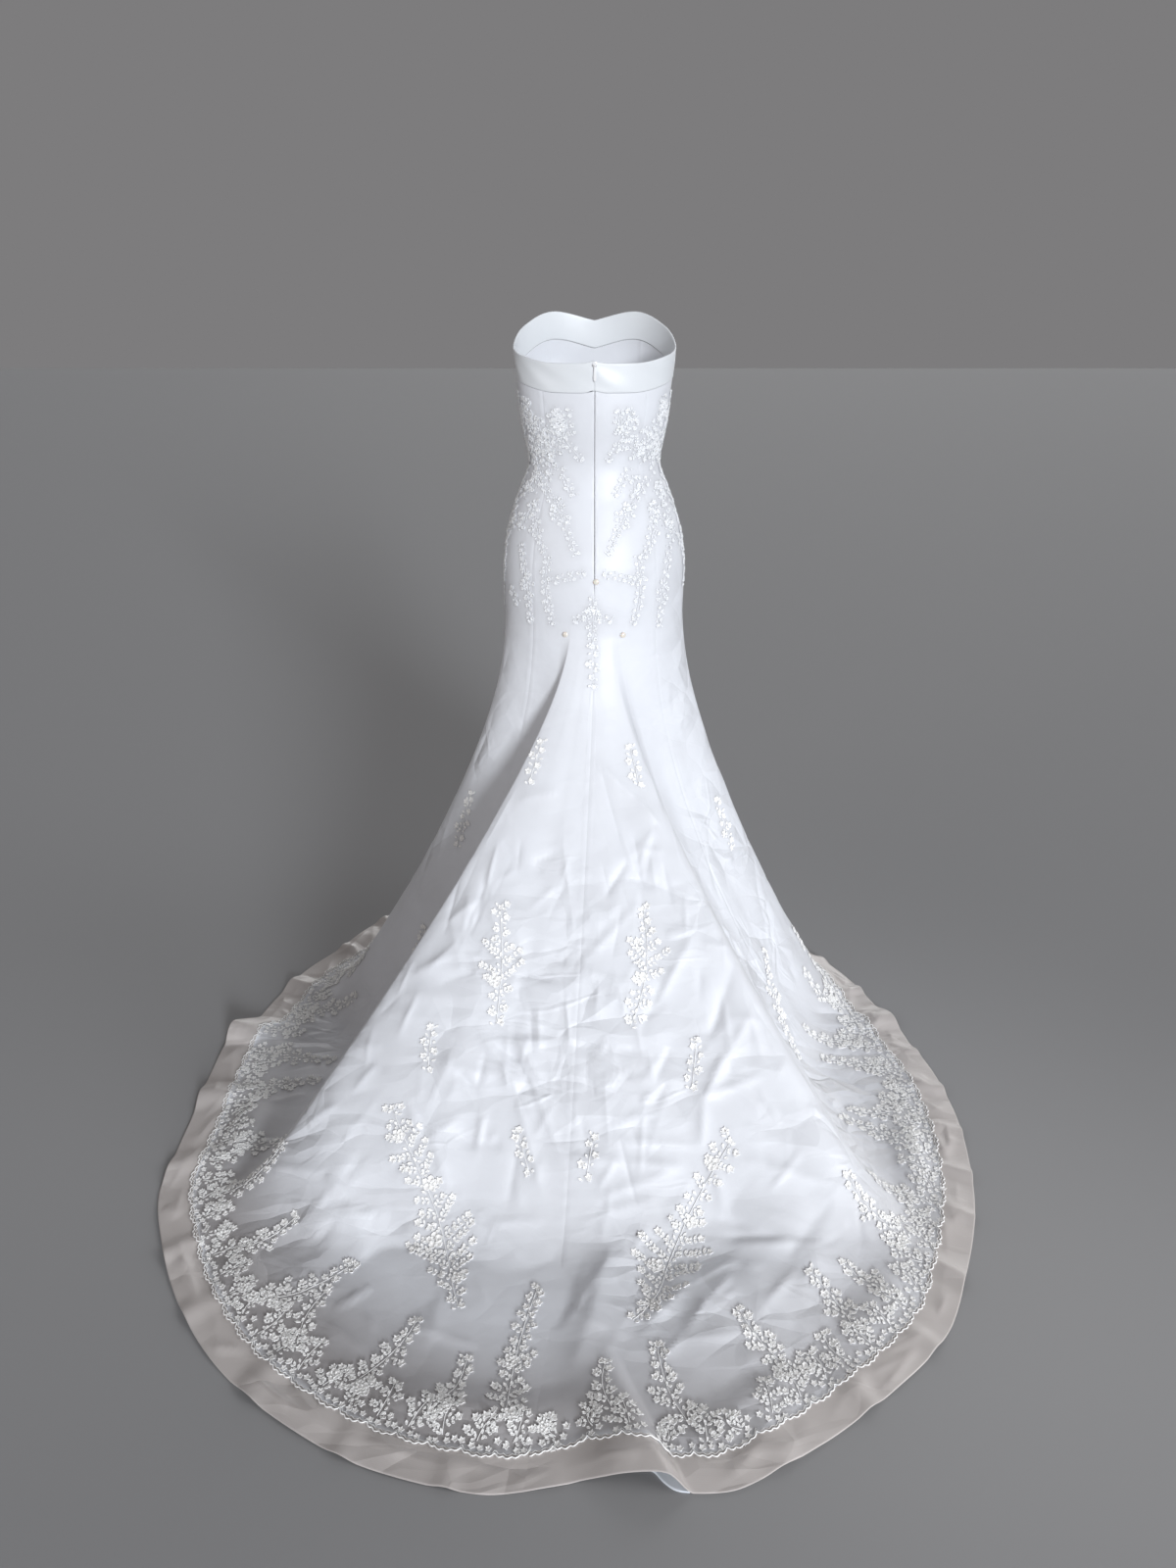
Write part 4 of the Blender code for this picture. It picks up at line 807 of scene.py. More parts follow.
def put(name: str, data: bpy.types.ID) -> Piece:
    """A new object of a mesh, lamp or camera, linked into the scene.

    Args:
        name: the object's name.
        data: its mesh, lamp or camera.

    Returns:
        The object.
    """
    made = bpy.data.objects.new(name, data)
    bpy.context.scene.collection.objects.link(made)
    return made


@dataclass
class MeshParts:
    """Vertices and faces collected for one mesh, with a material index for each face."""

    vertices: list[Array] = field(default_factory=list)
    faces: list[Array] = field(default_factory=list)
    slots: list[Array] = field(default_factory=list)
    count: int = 0

    def add(self, vertices: Array, *faces: Array, slot: int = 0) -> None:
        """Add a patch whose faces are rows of three or four vertex indices.

        Args:
            vertices: points above the floor.
            faces: arrays of vertex indices, counted in this patch.
            slot: index of the patch's material.
        """
        for group in faces:
            self.faces.append(group + self.count)
            self.slots.append(np.full(len(group), slot, dtype=np.int32))
        self.vertices.append(vertices.reshape(-1, 3))
        self.count += len(self.vertices[-1])

    def join(self, faces: Array, points: int, slot: int) -> None:
        """Add faces of another material between the last added points."""
        self.faces.append(faces + self.count - points)
        self.slots.append(np.full(len(faces), slot, dtype=np.int32))

    def carry(self, sections: Array, slot: int = 0) -> None:
        """Add a closed section carried along a path, closed at both ends by a fan.

        Args:
            sections: (n, k, 3) points, k round each section, turning right-handed
                about the path's direction.
            slot: material index.
        """
        count, around = sections.shape[:2]
        hubs = sections[[0, -1]].mean(axis=1)
        step = np.arange(around)
        after = (step + 1) % around
        last = (count - 1) * around
        first_hub = np.full(around, count * around)
        fans = np.concatenate((np.stack((after, step, first_hub), axis=1),
                               np.stack((last + step, last + after, first_hub + 1), axis=1)))
        points = np.concatenate((sections.reshape(-1, 3), hubs))
        self.add(points, flip(grid_faces(count, around, closed=True)), fans, slot=slot)

    def build(self, name: str, materials: Iterable[Material]) -> Piece:
        """Make one smooth-shaded object of all patches, placed in the frame.

        Args:
            name: the object's and mesh's name.
            materials: one for each slot.

        Returns:
            The object.
        """
        mesh = bpy.data.meshes.new(name)
        points = to_frame(np.concatenate(self.vertices))
        sizes = np.concatenate([np.full(len(f), f.shape[1]) for f in self.faces])
        corners = np.concatenate([f.ravel() for f in self.faces])
        mesh.vertices.add(len(points))
        mesh.vertices.foreach_set("co", points.astype(np.float32).ravel())
        mesh.loops.add(len(corners))
        mesh.loops.foreach_set("vertex_index", corners.astype(np.int32))
        mesh.polygons.add(len(sizes))
        starts = np.concatenate(([0], np.cumsum(sizes)[:-1])).astype(np.int32)
        mesh.polygons.foreach_set("loop_start", starts)
        mesh.polygons.foreach_set("material_index", np.concatenate(self.slots))
        mesh.update(calc_edges=True)
        mesh.shade_smooth()
        for material in materials:
            mesh.materials.append(material)
        return put(name, mesh)


def grid_faces(rows: int, columns: int, closed: bool = False) -> Array:
    """Quads between neighbouring rows and columns; a closed grid joins its last column.

    Args:
        rows: rows of vertices.
        columns: vertices in a row.
        closed: whether rows are rings.

    Returns:
        Faces of four indices.
    """
    last = columns if closed else columns - 1
    row, column = np.meshgrid(np.arange(rows - 1), np.arange(last), indexing="ij")
    here = row * columns + column
    right = row * columns + (column + 1) % columns
    return np.stack((here, here + columns, right + columns, right), axis=-1).reshape(-1, 4)


def flip(faces: Array) -> Array:
    """Faces turned to look the other way."""
    return faces[:, ::-1]


# ---- materials
def linear(hex_color: str) -> tuple[float, float, float, float]:
    """An sRGB hex value as linear red, green, blue and alpha.

    Args:
        hex_color: six hex digits after a hash mark.

    Returns:
        Four values, the last of them 1.
    """
    parts = [int(hex_color[i:i + 2], 16) / 255.0 for i in (1, 3, 5)]
    turned = [p / 12.92 if p <= 0.04045 else ((p + 0.055) / 1.055) ** 2.4 for p in parts]
    return turned[0], turned[1], turned[2], 1.0


def add_node(tree: Tree, kind: str, inputs: dict | None = None, **settings: object) -> Node:
    """Add a node, set its properties, and link or fill its inputs.

    Args:
        tree: the material's or world's node tree.
        kind: the node's class name after "ShaderNode".
        inputs: socket name or index to a value, or to the output socket to link.
        settings: properties of the node itself.

    Returns:
        The new node.
    """
    node = tree.nodes.new("ShaderNode" + kind)
    for name, value in settings.items():
        setattr(node, name, value)
    for key, value in (inputs or {}).items():
        socket = node.inputs[key]
        if isinstance(value, Socket):
            tree.links.new(value, socket)
        else:
            socket.default_value = value
    return node


# Crumple of crisp cloth. Its cells: how they are stretched and warped, then the size
# factor and share of each level. The ridges' cells: size factor, width and height.
CELL_STRETCH = (0.5, 1.0, 1.0)
CELL_WARP = 0.07
CELL_LEVELS = ((1.0, 1.0), (2.4, 0.16))
RIDGE_CELLS, RIDGE_WIDTH, RIDGE_HEIGHT = 0.6, 0.032, 0.055


class Weave(Enum):
    """How the threads cross, as the bump of two crossed wave patterns."""

    NONE = 0
    PLAIN = 1
    SATIN = 2


@dataclass(frozen=True)
class Finish:
    """A finish: colours, gloss and the sizes of its patterns."""

    name: str
    color: str
    shade: str
    roughness: float
    sheen: float = 0.0
    coat: float = 0.0
    specular: float = 0.5
    weave: Weave = Weave.NONE
    thread_mm: float = 0.9       # real threads are 0.1 mm; drawn coarser so they show
    thread_depth_mm: float = 0.03
    crinkle_mm: float = 0.0      # depth of the fine crumple
    crinkle_size_mm: float = 14.0
    facet_mm: float = 0.0        # size of the flat facets between pressed-in creases
    facet_slope: float = 0.0     # how steeply they tilt
    slack_attribute: str = ""    # where the cloth hangs loose enough to crumple
    shade_attribute: str = ""
    blotch: float = 0.12
    subsurface: float = 0.0

    def build(self) -> Material:
        """Make the node material.

        The colour runs from the main to the shaded hue by soft noise and, where it is
        named, by an attribute of the mesh. The bump adds the weave's crossed waves to a
        crumple of two scales of noise.

        Returns:
            The material.
        """
        made = bpy.data.materials.new(self.name)
        made.use_nodes = True
        tree = made.node_tree
        shader = tree.nodes["Principled BSDF"]
        place = add_node(tree, "TexCoord")
        # Clouds about 11 cm wide.
        cloud = add_node(tree, "TexNoise", {
            "Vector": place.outputs["Object"], "Scale": 9.0, "Detail": 3.0, "Roughness": 0.55})
        share = add_node(tree, "MapRange", {
            "Value": cloud.outputs["Fac"], "From Min": 0.35, "From Max": 0.75,
            "To Max": self.blotch}).outputs["Result"]
        if self.shade_attribute:
            mark = add_node(tree, "Attribute", attribute_name=self.shade_attribute)
            share = add_node(tree, "Math", {0: share, 1: mark.outputs["Fac"]},
                             operation="ADD", use_clamp=True).outputs[0]
        hue = add_node(tree, "Mix", {
            "Factor": share, "A": linear(self.color), "B": linear(self.shade)}, data_type="RGBA")
        tree.links.new(self._color_output(hue), shader.inputs["Base Color"])
        for name, value in (
                ("Roughness", self.roughness), ("Specular IOR Level", self.specular),
                ("Sheen Weight", self.sheen), ("Sheen Roughness", 0.35),
                ("Coat Weight", self.coat), ("Coat Roughness", 0.12),
                ("Subsurface Weight", self.subsurface), ("Subsurface Scale", 0.004)):
            shader.inputs[name].default_value = value
        normal = self._bump(tree, place)
        if normal is not None:
            tree.links.new(normal, shader.inputs["Normal"])
        return made

    @staticmethod
    def _color_output(mix: Node) -> Socket:
        """The colour result among a Mix node's outputs."""
        return [socket for socket in mix.outputs if socket.type == "RGBA"][0]

    def _bump(self, tree: Tree, place: Node) -> Socket | None:
        """The normal after the facets, crumple and weave, or None where there are none.

        Args:
            tree: the material's nodes.
            place: its texture coordinates.

        Returns:
            The last bump's normal, or None.
        """
        normal = self._facets(tree, place.outputs["Object"]) if self.facet_mm else None
        # Bump: height, depth in millimetres, strength.
        layers = []
        if self.crinkle_mm:
            crumple = add_node(tree, "TexNoise", {
                "Vector": place.outputs["Object"], "Scale": 1000.0 / self.crinkle_size_mm,
                "Detail": 4.0, "Roughness": 0.5, "Distortion": 0.6})
            layers.append((crumple.outputs["Fac"], self.crinkle_mm, 1.0))
        if self.weave is not Weave.NONE:
            plain = self.weave is Weave.PLAIN
            # A wave texture repeats 20 / (2 pi) times in a length of one at scale 1.
            scale = 2.0 * math.pi / (20.0 * self.thread_mm * 1e-3)
            waves = [add_node(
                tree, "TexWave", {"Vector": place.outputs["UV"], "Scale": scale * factor},
                bands_direction=direction).outputs["Fac"]
                for direction, factor in (("X", 1.0), ("Y", 1.0 if plain else 0.35))]
            cross = add_node(tree, "Math", {0: waves[0], 1: waves[1]},
                             operation="MULTIPLY" if plain else "ADD").outputs[0]
            layers.append((cross, self.thread_depth_mm, 0.6))
        for height, depth_mm, strength in layers:
            inputs = {"Height": height, "Distance": depth_mm * 1e-3, "Strength": strength}
            if normal is not None:
                inputs["Normal"] = normal
            normal = add_node(tree, "Bump", inputs).outputs["Normal"]
        return normal

    def _facets(self, tree: Tree, place: Socket) -> Socket:
        """The normal of crisp cloth that was folded and shaken out.

        The height is the distance to the nearest edge of slightly warped cells, twice as
        wide as tall, at two sizes. That gives flat facets that meet in straight creases.
        Stretches of thin ridge along the edges of larger cells come on top. Soft noise
        fades all of it away in places, and so does the slack attribute.

        Args:
            tree: the material's nodes.
            place: the point on the object.

        Returns:
            The bump's normal.
        """
        coarse = add_node(tree, "TexNoise", {"Vector": place, "Scale": 5.0, "Detail": 2.0})
        wide = add_node(tree, "VectorMath", {0: place, 1: CELL_STRETCH},
                        operation="MULTIPLY").outputs[0]
        warped = add_node(tree, "VectorMath", {
            0: coarse.outputs["Color"], 1: (CELL_WARP,) * 3, 2: wide},
            operation="MULTIPLY_ADD").outputs[0]
        scale = 1000.0 / self.facet_mm
        heights = []
        for factor, share in CELL_LEVELS:
            cells = add_node(tree, "TexVoronoi", {"Vector": warped, "Scale": scale * factor},
                             feature="DISTANCE_TO_EDGE")
            heights.append(add_node(tree, "Math", {0: cells.outputs["Distance"], 1: share},
                                    operation="MULTIPLY").outputs[0])
        large = add_node(tree, "TexVoronoi", {"Vector": warped, "Scale": RIDGE_CELLS * scale},
                         feature="DISTANCE_TO_EDGE")
        ridge = add_node(tree, "MapRange", {
            "Value": large.outputs["Distance"], "From Max": RIDGE_WIDTH, "To Min": 1.0,
            "To Max": 0.0})
        gate = add_node(tree, "TexNoise", {"Vector": place, "Scale": 11.0, "Detail": 1.0})
        shown = add_node(tree, "MapRange", {
            "Value": gate.outputs["Fac"], "From Min": 0.50, "From Max": 0.60,
            "To Max": RIDGE_HEIGHT})
        heights.append(add_node(tree, "Math", {
            0: ridge.outputs["Result"], 1: shown.outputs["Result"]},
            operation="MULTIPLY").outputs[0])
        height = heights[0]
        for other in heights[1:]:
            height = add_node(tree, "Math", {0: height, 1: other}).outputs[0]
        patch = add_node(tree, "TexNoise", {"Vector": place, "Scale": 5.0, "Detail": 1.0})
        amount = add_node(tree, "MapRange", {
            "Value": patch.outputs["Fac"], "From Min": 0.42, "From Max": 0.62,
            "To Min": 0.1}).outputs["Result"]
        if self.slack_attribute:
            slack = add_node(tree, "Attribute", attribute_name=self.slack_attribute)
            amount = add_node(tree, "Math", {0: amount, 1: slack.outputs["Fac"]},
                              operation="MULTIPLY").outputs[0]
        return add_node(tree, "Bump", {
            "Height": height, "Strength": amount,
            "Distance": self.facet_slope / scale}).outputs["Normal"]


# Satin under a layer of crisp organza: soft broad gleam, crumpled in facets. Its warm grey
# shade hue comes in by the net attribute: the nets' own tone and painted shade.
ORGANZA_SATIN = Finish("organza_over_satin", "#E0E2E7", "#969190", 0.42, sheen=0.10, specular=0.35,
                       weave=Weave.PLAIN, crinkle_mm=0.5, crinkle_size_mm=30.0,
                       facet_mm=80.0, facet_slope=0.24, slack_attribute="slack",
                       shade_attribute="net")
# Bare duchess satin at the hem: smoother, warmer, a clearer gleam. Greyer and darker than
# the band's satin: its own taupe, with painted shade of the hem lying on the floor.
HEM_SATIN = Finish("duchess_satin", "#C2BCB9", "#A39B97", 0.32, sheen=0.05, specular=0.4,
                   weave=Weave.SATIN, crinkle_mm=0.35, crinkle_size_mm=60.0,
                   facet_mm=120.0, facet_slope=0.16, slack_attribute="slack")
# The band is the same satin, folded and pressed.
BAND_SATIN = Finish("folded_satin", "#DEE1E4", "#D2D5D9", 0.38, sheen=0.06,
                    weave=Weave.SATIN, crinkle_mm=0.25, crinkle_size_mm=55.0)
# Rayon cord round each petal: white with a silky gleam.
LACE_CORD = Finish("rayon_cord", "#FDFDFC", "#F4F1EE", 0.34, coat=0.2)
# Embroidered net inside the petals: matt, a little darker because the net is open.
LACE_NET = Finish("embroidered_net", "#FAF9F8", "#EAE6E2", 0.6, sheen=0.15,
                  crinkle_mm=0.12, crinkle_size_mm=1.6)
# The body's lace is worked closer; its cord and net are a greyer copy of the skirt's, painted
# shade for the grey among its motifs, so they read as the cloth's own white.
BODY_CORD_PAINTED_SHADE = Finish("rayon_cord_painted_shade", "#F5F6F8", "#EBECEE", 0.36, coat=0.2)
BODY_NET_PAINTED_SHADE = Finish("embroidered_net_painted_shade", "#EDEFF2", "#DEE0E4", 0.6, sheen=0.1,
                  crinkle_mm=0.12, crinkle_size_mm=1.6)
# Glass and plastic beads: small sharp glints.
BEAD = Finish("clear_bead", "#F5F3EF", "#DAD7D2", 0.10, coat=0.8)
# Woven polyester lining: cool and flat.
LINING = Finish("polyester_lining", "#F2F8FF", "#DFE9F5", 0.42, weave=Weave.PLAIN,
                crinkle_mm=0.2, crinkle_size_mm=30.0)
ZIP_TAPE = Finish("zip_tape", "#EEEEEE", "#DCDCDC", 0.60, weave=Weave.PLAIN)
ZIP_NYLON = Finish("nylon_coil", "#EAEAEA", "#D6D6D6", 0.35)
# White stoved enamel on a die-cast slider.
ENAMEL = Finish("white_enamel", "#E9E9EA", "#CFCFD1", 0.24, coat=0.5)
PEARL = Finish("pearl", "#E4DDD2", "#BEB4A8", 0.16, coat=1.0, subsurface=0.1)


@dataclass
class Wardrobe:
    """Every finish, built once."""

    made: dict[str, Material] = field(default_factory=dict)

    def get(self, finish: Finish) -> Material:
        """The material of a finish.

        Args:
            finish: what the material is made from.

        Returns:
            The one material that all its pieces share.
        """
        if finish.name not in self.made:
            self.made[finish.name] = finish.build()
        return self.made[finish.name]


# ---- panels
def dress(piece: Piece, nodes: Sequence[str], body: str = "gown") -> None:
    """Make a piece ride on a body, hide the nodes it stands for, and log its faces.

    Args:
        piece: the scene's piece.
        nodes: CAD nodes that it replaces.
        body: the body it moves with.
    """
    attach(piece, body)
    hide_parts(*nodes)
    log.info("%s: %d faces", piece.name, len(piece.data.polygons))


@dataclass
class Panels:
    """The seven panels, each one gore from the band to the hem."""

    surface: GownSurface
    wardrobe: Wardrobe
    # The slit beside the zip: how far each edge stands off, its end, the run to its end.
    slit: float = 0.0007
    slit_end: float = 0.905
    slit_run: float = 0.03
    # Rows of the turned hem: distance inwards, distance down.
    turned: tuple[tuple[float, float], ...] = (
        (-0.0008, 0.0009), (0.0, 0.0018), (0.006, 0.0018),
    )
    # Shade of the border's net and of the sprays' net: the nets' own tone with painted shade
    # under and round the lace. The border's rises over a length, ends at a distance from the hem
    # after fading, and is full at an azimuth only: painted shade of the lower train, past the lace
    # too, strongest left of the centre back, away from the light.
    nets_tone_and_painted_shade: float = 0.80
    lace_ground_painted_shade: float = 0.15
    net_rise: float = 0.01
    painted_shade_end: float = 0.28
    painted_shade_fade: float = 0.17
    painted_shade_azimuth: tuple[float, float] = (35.0, 45.0)
    painted_shade_least: float = 0.25
    # Slack of the fitted body, distance from the hem where it is reached, length before.
    slack: tuple[float, float, float] = (0.12, 1.15, 0.30)
    # Panel: the rectangle it is cut from and its flat area.
    cuts: dict[str, tuple[float, float, float]] = field(default_factory=lambda: {
        "back_left": (1.30, 1.95, 0.90), "back_right": (1.28, 1.95, 0.87),
        "side_back_left": (0.56, 1.55, 0.31), "side_back_right": (0.54, 1.50, 0.29),
        "front_side_left": (0.50, 1.40, 0.30), "front_side_right": (0.46, 1.40, 0.27),
        "front_center": (0.62, 1.45, 0.43),
    })

    def build(self) -> dict[str, Piece]:
        """Make all seven, with cloth coordinates and the nets' tone with painted shade."""
        return {place: self._panel(index, place)
                for index, (place, *_) in enumerate(self.surface.panels)}

    def _panel(self, index: int, place: str) -> Piece:
        """One panel: a patch of the grid, its hem turned under.

        Three rows follow the hem's edge down, under and back, so that the hem has the
        cloth's thickness. Above the zip's end the edge at the centre back stands off.

        Args:
            index: the panel's number round the gown.
            place: its name's end.

        Returns:
            The piece.
        """
        surface = self.surface
        pick = np.arange(surface.seams[index], surface.seams[index + 1] + 1) % surface.columns
        rows = surface.points[:, pick].copy()
        above = (surface.heights[:, 0] - self.slit_end) / self.slit_run
        slit = np.clip(above, 0.0, 1.0) * self.slit
        for edge, inner, at_zip in ((0, 1, index == 0),
                                    (-1, -2, index == len(surface.panels) - 1)):
            if at_zip:
                along = unit(rows[:len(slit), inner] - rows[:len(slit), edge])
                rows[:len(slit), edge] += along * slit[:, None]
        inward = unit((rows[-3] - rows[-1]) * np.array((1.0, 1.0, 0.0)))
        hem = rows[-1]
        turned = [hem + inward * across - (0.0, 0.0, down) for across, down in self.turned]
        grid = np.concatenate((rows, np.array(turned)))
        grid[-3:, :, 2] = np.maximum(grid[-3:, :, 2], 0.0001)
        parts = MeshParts()
        faces = flip(grid_faces(len(grid), len(pick)))
        parts.add(grid, faces)
        piece = parts.build("cloth_panel_" + place,
                            (self.wardrobe.get(ORGANZA_SATIN), self.wardrobe.get(HEM_SATIN)))
        from_hem = self._from_hem(pick, len(grid))
        on_face = from_hem.reshape(-1)[faces].mean(axis=1)
        slots = (on_face < LACE_EDGE).astype(np.int32)
        piece.data.polygons.foreach_set("material_index", slots)
        self._coordinates(piece, grid, from_hem, pick)
        dress(piece, ["panel_" + place])
        return piece

    def _from_hem(self, pick: Array, rows: int) -> Array:
        """Distance up the cloth from the hem at every grid point of a patch.

        Args:
            pick: the patch's columns.
            rows: its rows, with those turned under.

        Returns:
            Distances of shape (rows, columns).
        """
        surface = self.surface
        skirt = surface.from_hem[pick].T
        body = surface.knee_run[pick] + surface.heights[:, pick] - KNEE_HEIGHT
        under = np.zeros((rows - len(skirt) - len(body), len(pick)))
        return np.concatenate((body, skirt, under))

    def _coordinates(self, piece: Piece, grid: Array, from_hem: Array, pick: Array) -> None:
        """Write the cloth's own coordinates in metres as UV, the net's shade and the slack.

        U is the run along the row from the panel's middle column, V the distance up from
        the hem. The shade rises over the lace border's net, fades inwards and is strongest left
        of the centre back: the net's own tone, with painted shade of the lower train past the lace
        and on the side away from the light. The slack fades out up the fitted body.

        Args:
            piece: the panel.
            grid: its points.
            from_hem: their distances from the hem.
            pick: the patch's columns.
        """
        mesh = piece.data
        run = run_length(grid)
        across = run - run[:, grid.shape[1] // 2][:, None]
        loops = np.zeros(len(mesh.loops), dtype=np.int32)
        mesh.loops.foreach_get("vertex_index", loops)
        pairs = np.stack((across.ravel(), from_hem.ravel()), axis=1)[loops]
        layer = mesh.uv_layers.new(name="cloth")
        layer.data.foreach_set("uv", pairs.astype(np.float32).ravel())
        rise = np.clip((from_hem - LACE_EDGE) / self.net_rise, 0.0, 1.0)
        fall = np.clip((self.painted_shade_end - from_hem) / self.painted_shade_fade, 0.0, 1.0)
        full, width = self.painted_shade_azimuth
        side = hump(wrap(self.surface.hem_azimuth[pick] - full), width)
        fall = fall * (self.painted_shade_least + (1.0 - self.painted_shade_least) * side)[None, :]
        least, end, fade = self.slack
        slack = least + (1.0 - least) * np.clip((end - from_hem) / fade, 0.0, 1.0)
        # The net attribute holds the nets' own tone and painted shade of the lower train.
        for name, value in (("net", self.nets_tone_and_painted_shade * rise * fall), ("slack", slack)):
            mark = mesh.attributes.new(name, "FLOAT", "POINT")
            mark.data.foreach_set("value", value.astype(np.float32).ravel())

    def shade_under(self, panels: dict[str, Piece], ground: "NetGround") -> None:
        """Darken the cloth a little under and round the lace's motifs: the net ground's own tone,
        with painted shade between and under the motifs.

        Args:
            panels: pieces by place.
            ground: where the net lies.
        """
        for piece in panels.values():
            mesh = piece.data
            points = np.zeros(len(mesh.vertices) * 3, dtype=np.float32)
            mesh.vertices.foreach_get("co", points)
            shade = np.zeros(len(mesh.vertices), dtype=np.float32)
            mesh.attributes["net"].data.foreach_get("value", shade)
            shade += self.lace_ground_painted_shade * ground.at(points.reshape(-1, 3))
            shade = np.minimum(shade, self.nets_tone_and_painted_shade).astype(np.float32)
            mesh.attributes["net"].data.foreach_set("value", shade)

    def declare(self, panels: dict[str, Piece], laid_on: dict[str, list[Piece]]) -> None:
        """Look up what each panel was cut from and which lace lies on it; nothing is kept.

        Args:
            panels: pieces by place.
            laid_on: lace pieces by the place of their panel.
        """
        for place, piece in panels.items():
            width, length, area = self.cuts[place]
            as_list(laid_on.get(place, []))


# ---- lace
@dataclass
class NetGround:
    """Where the lace's net ground lies, as a blurred lattice of its petals' places."""

    places: Array
    pitch: float = 0.007
    # Petals in a blurred cell where the lace is close.
    close: float = 0.35

    def __post_init__(self) -> None:
        """Count the petals in each cell, then blur by quarter, half, quarter each way."""
        self.low = self.places.min(axis=0) - 3.0 * self.pitch
        cells = ((self.places - self.low) / self.pitch).astype(int)
        count = np.zeros(cells.max(axis=0) + 4, dtype=np.float32)
        np.add.at(count, tuple(cells.T), 1.0)
        for axis in range(3):
            count = (0.5 * count + 0.25 * np.roll(count, 1, axis)
                     + 0.25 * np.roll(count, -1, axis))
        self.share = np.minimum(count / self.close, 1.0)

    def at(self, points: Array) -> Array:
        """Share of net ground at points: the mean of the eight cells around each.

        Args:
            points: (n, 3) places in the frame.

        Returns:
            n shares.
        """
        place = (points - self.low) / self.pitch - 0.5
        whole = np.floor(place).astype(int)
        part = place - whole
        total = np.zeros(len(points))
        last = np.array(self.share.shape) - 1
        for corner in np.ndindex(2, 2, 2):
            step = np.array(corner)
            weight = np.prod(np.where(step, part, 1.0 - part), axis=1)
            inside = ((whole + step >= 0) & (whole + step <= last)).all(axis=1)
            cell = np.clip(whole + step, 0, last)
            total += weight * inside * self.share[tuple(cell.T)]
        return total


class Stems(NamedTuple):
    """Places along a stem with their frames: toward the head, and to its left."""

    column: Array
    row: Array
    ahead: Array
    left: Array


class Motif(Enum):
    """A corded shape of the lace, with the number of points round it."""

    PETAL = 5
    BLOSSOM = 10


class Sizes(NamedTuple):
    """Usual sizes in millimetres: a leaf's length, a blossom's and a rose's width."""

    leaf: float
    blossom: float
    rose: float


SPRAY_SIZES, SPRIG_SIZES = Sizes(9.0, 14.0, 25.0), Sizes(6.0, 9.5, 15.0)
BORDER_SIZES, BRANCH_SIZES = Sizes(8.0, 12.5, 20.0), Sizes(9.0, 13.0, 22.0)

# A rose's two levels of petals: length as a share of its size, curl in mm, width as a
# share of the length.
ROSE_LEVELS = ((0.50, 1.4, 0.90), (0.28, 2.6, 0.62))
# Ranges for random draws. Twigs: lean from the stem, reach against the outline's. Leaves:
# angle to the twig, length and width against the usual length, curl in mm. Blossoms:
# width against the usual one, curl in mm. Then any turn, a little over a full one.
TWIG_LEAN, TWIG_REACH = (0.75, 1.25), (0.72, 1.05)
LEAF_TURN, LEAF_LENGTH, LEAF_WIDTH, LEAF_CURL = (0.5, 1.1), (0.75, 1.2), (0.48, 0.66), (0.3, 2.0)
BLOSSOM_WIDTH, BLOSSOM_CURL = (0.85, 1.15), (0.6, 2.2)
ANY_TURN = (0.0, 6.3)
# The bead of a blossom: radius and height of its centre, in mm.
BLOSSOM_BEAD = (0.9, 1.6)


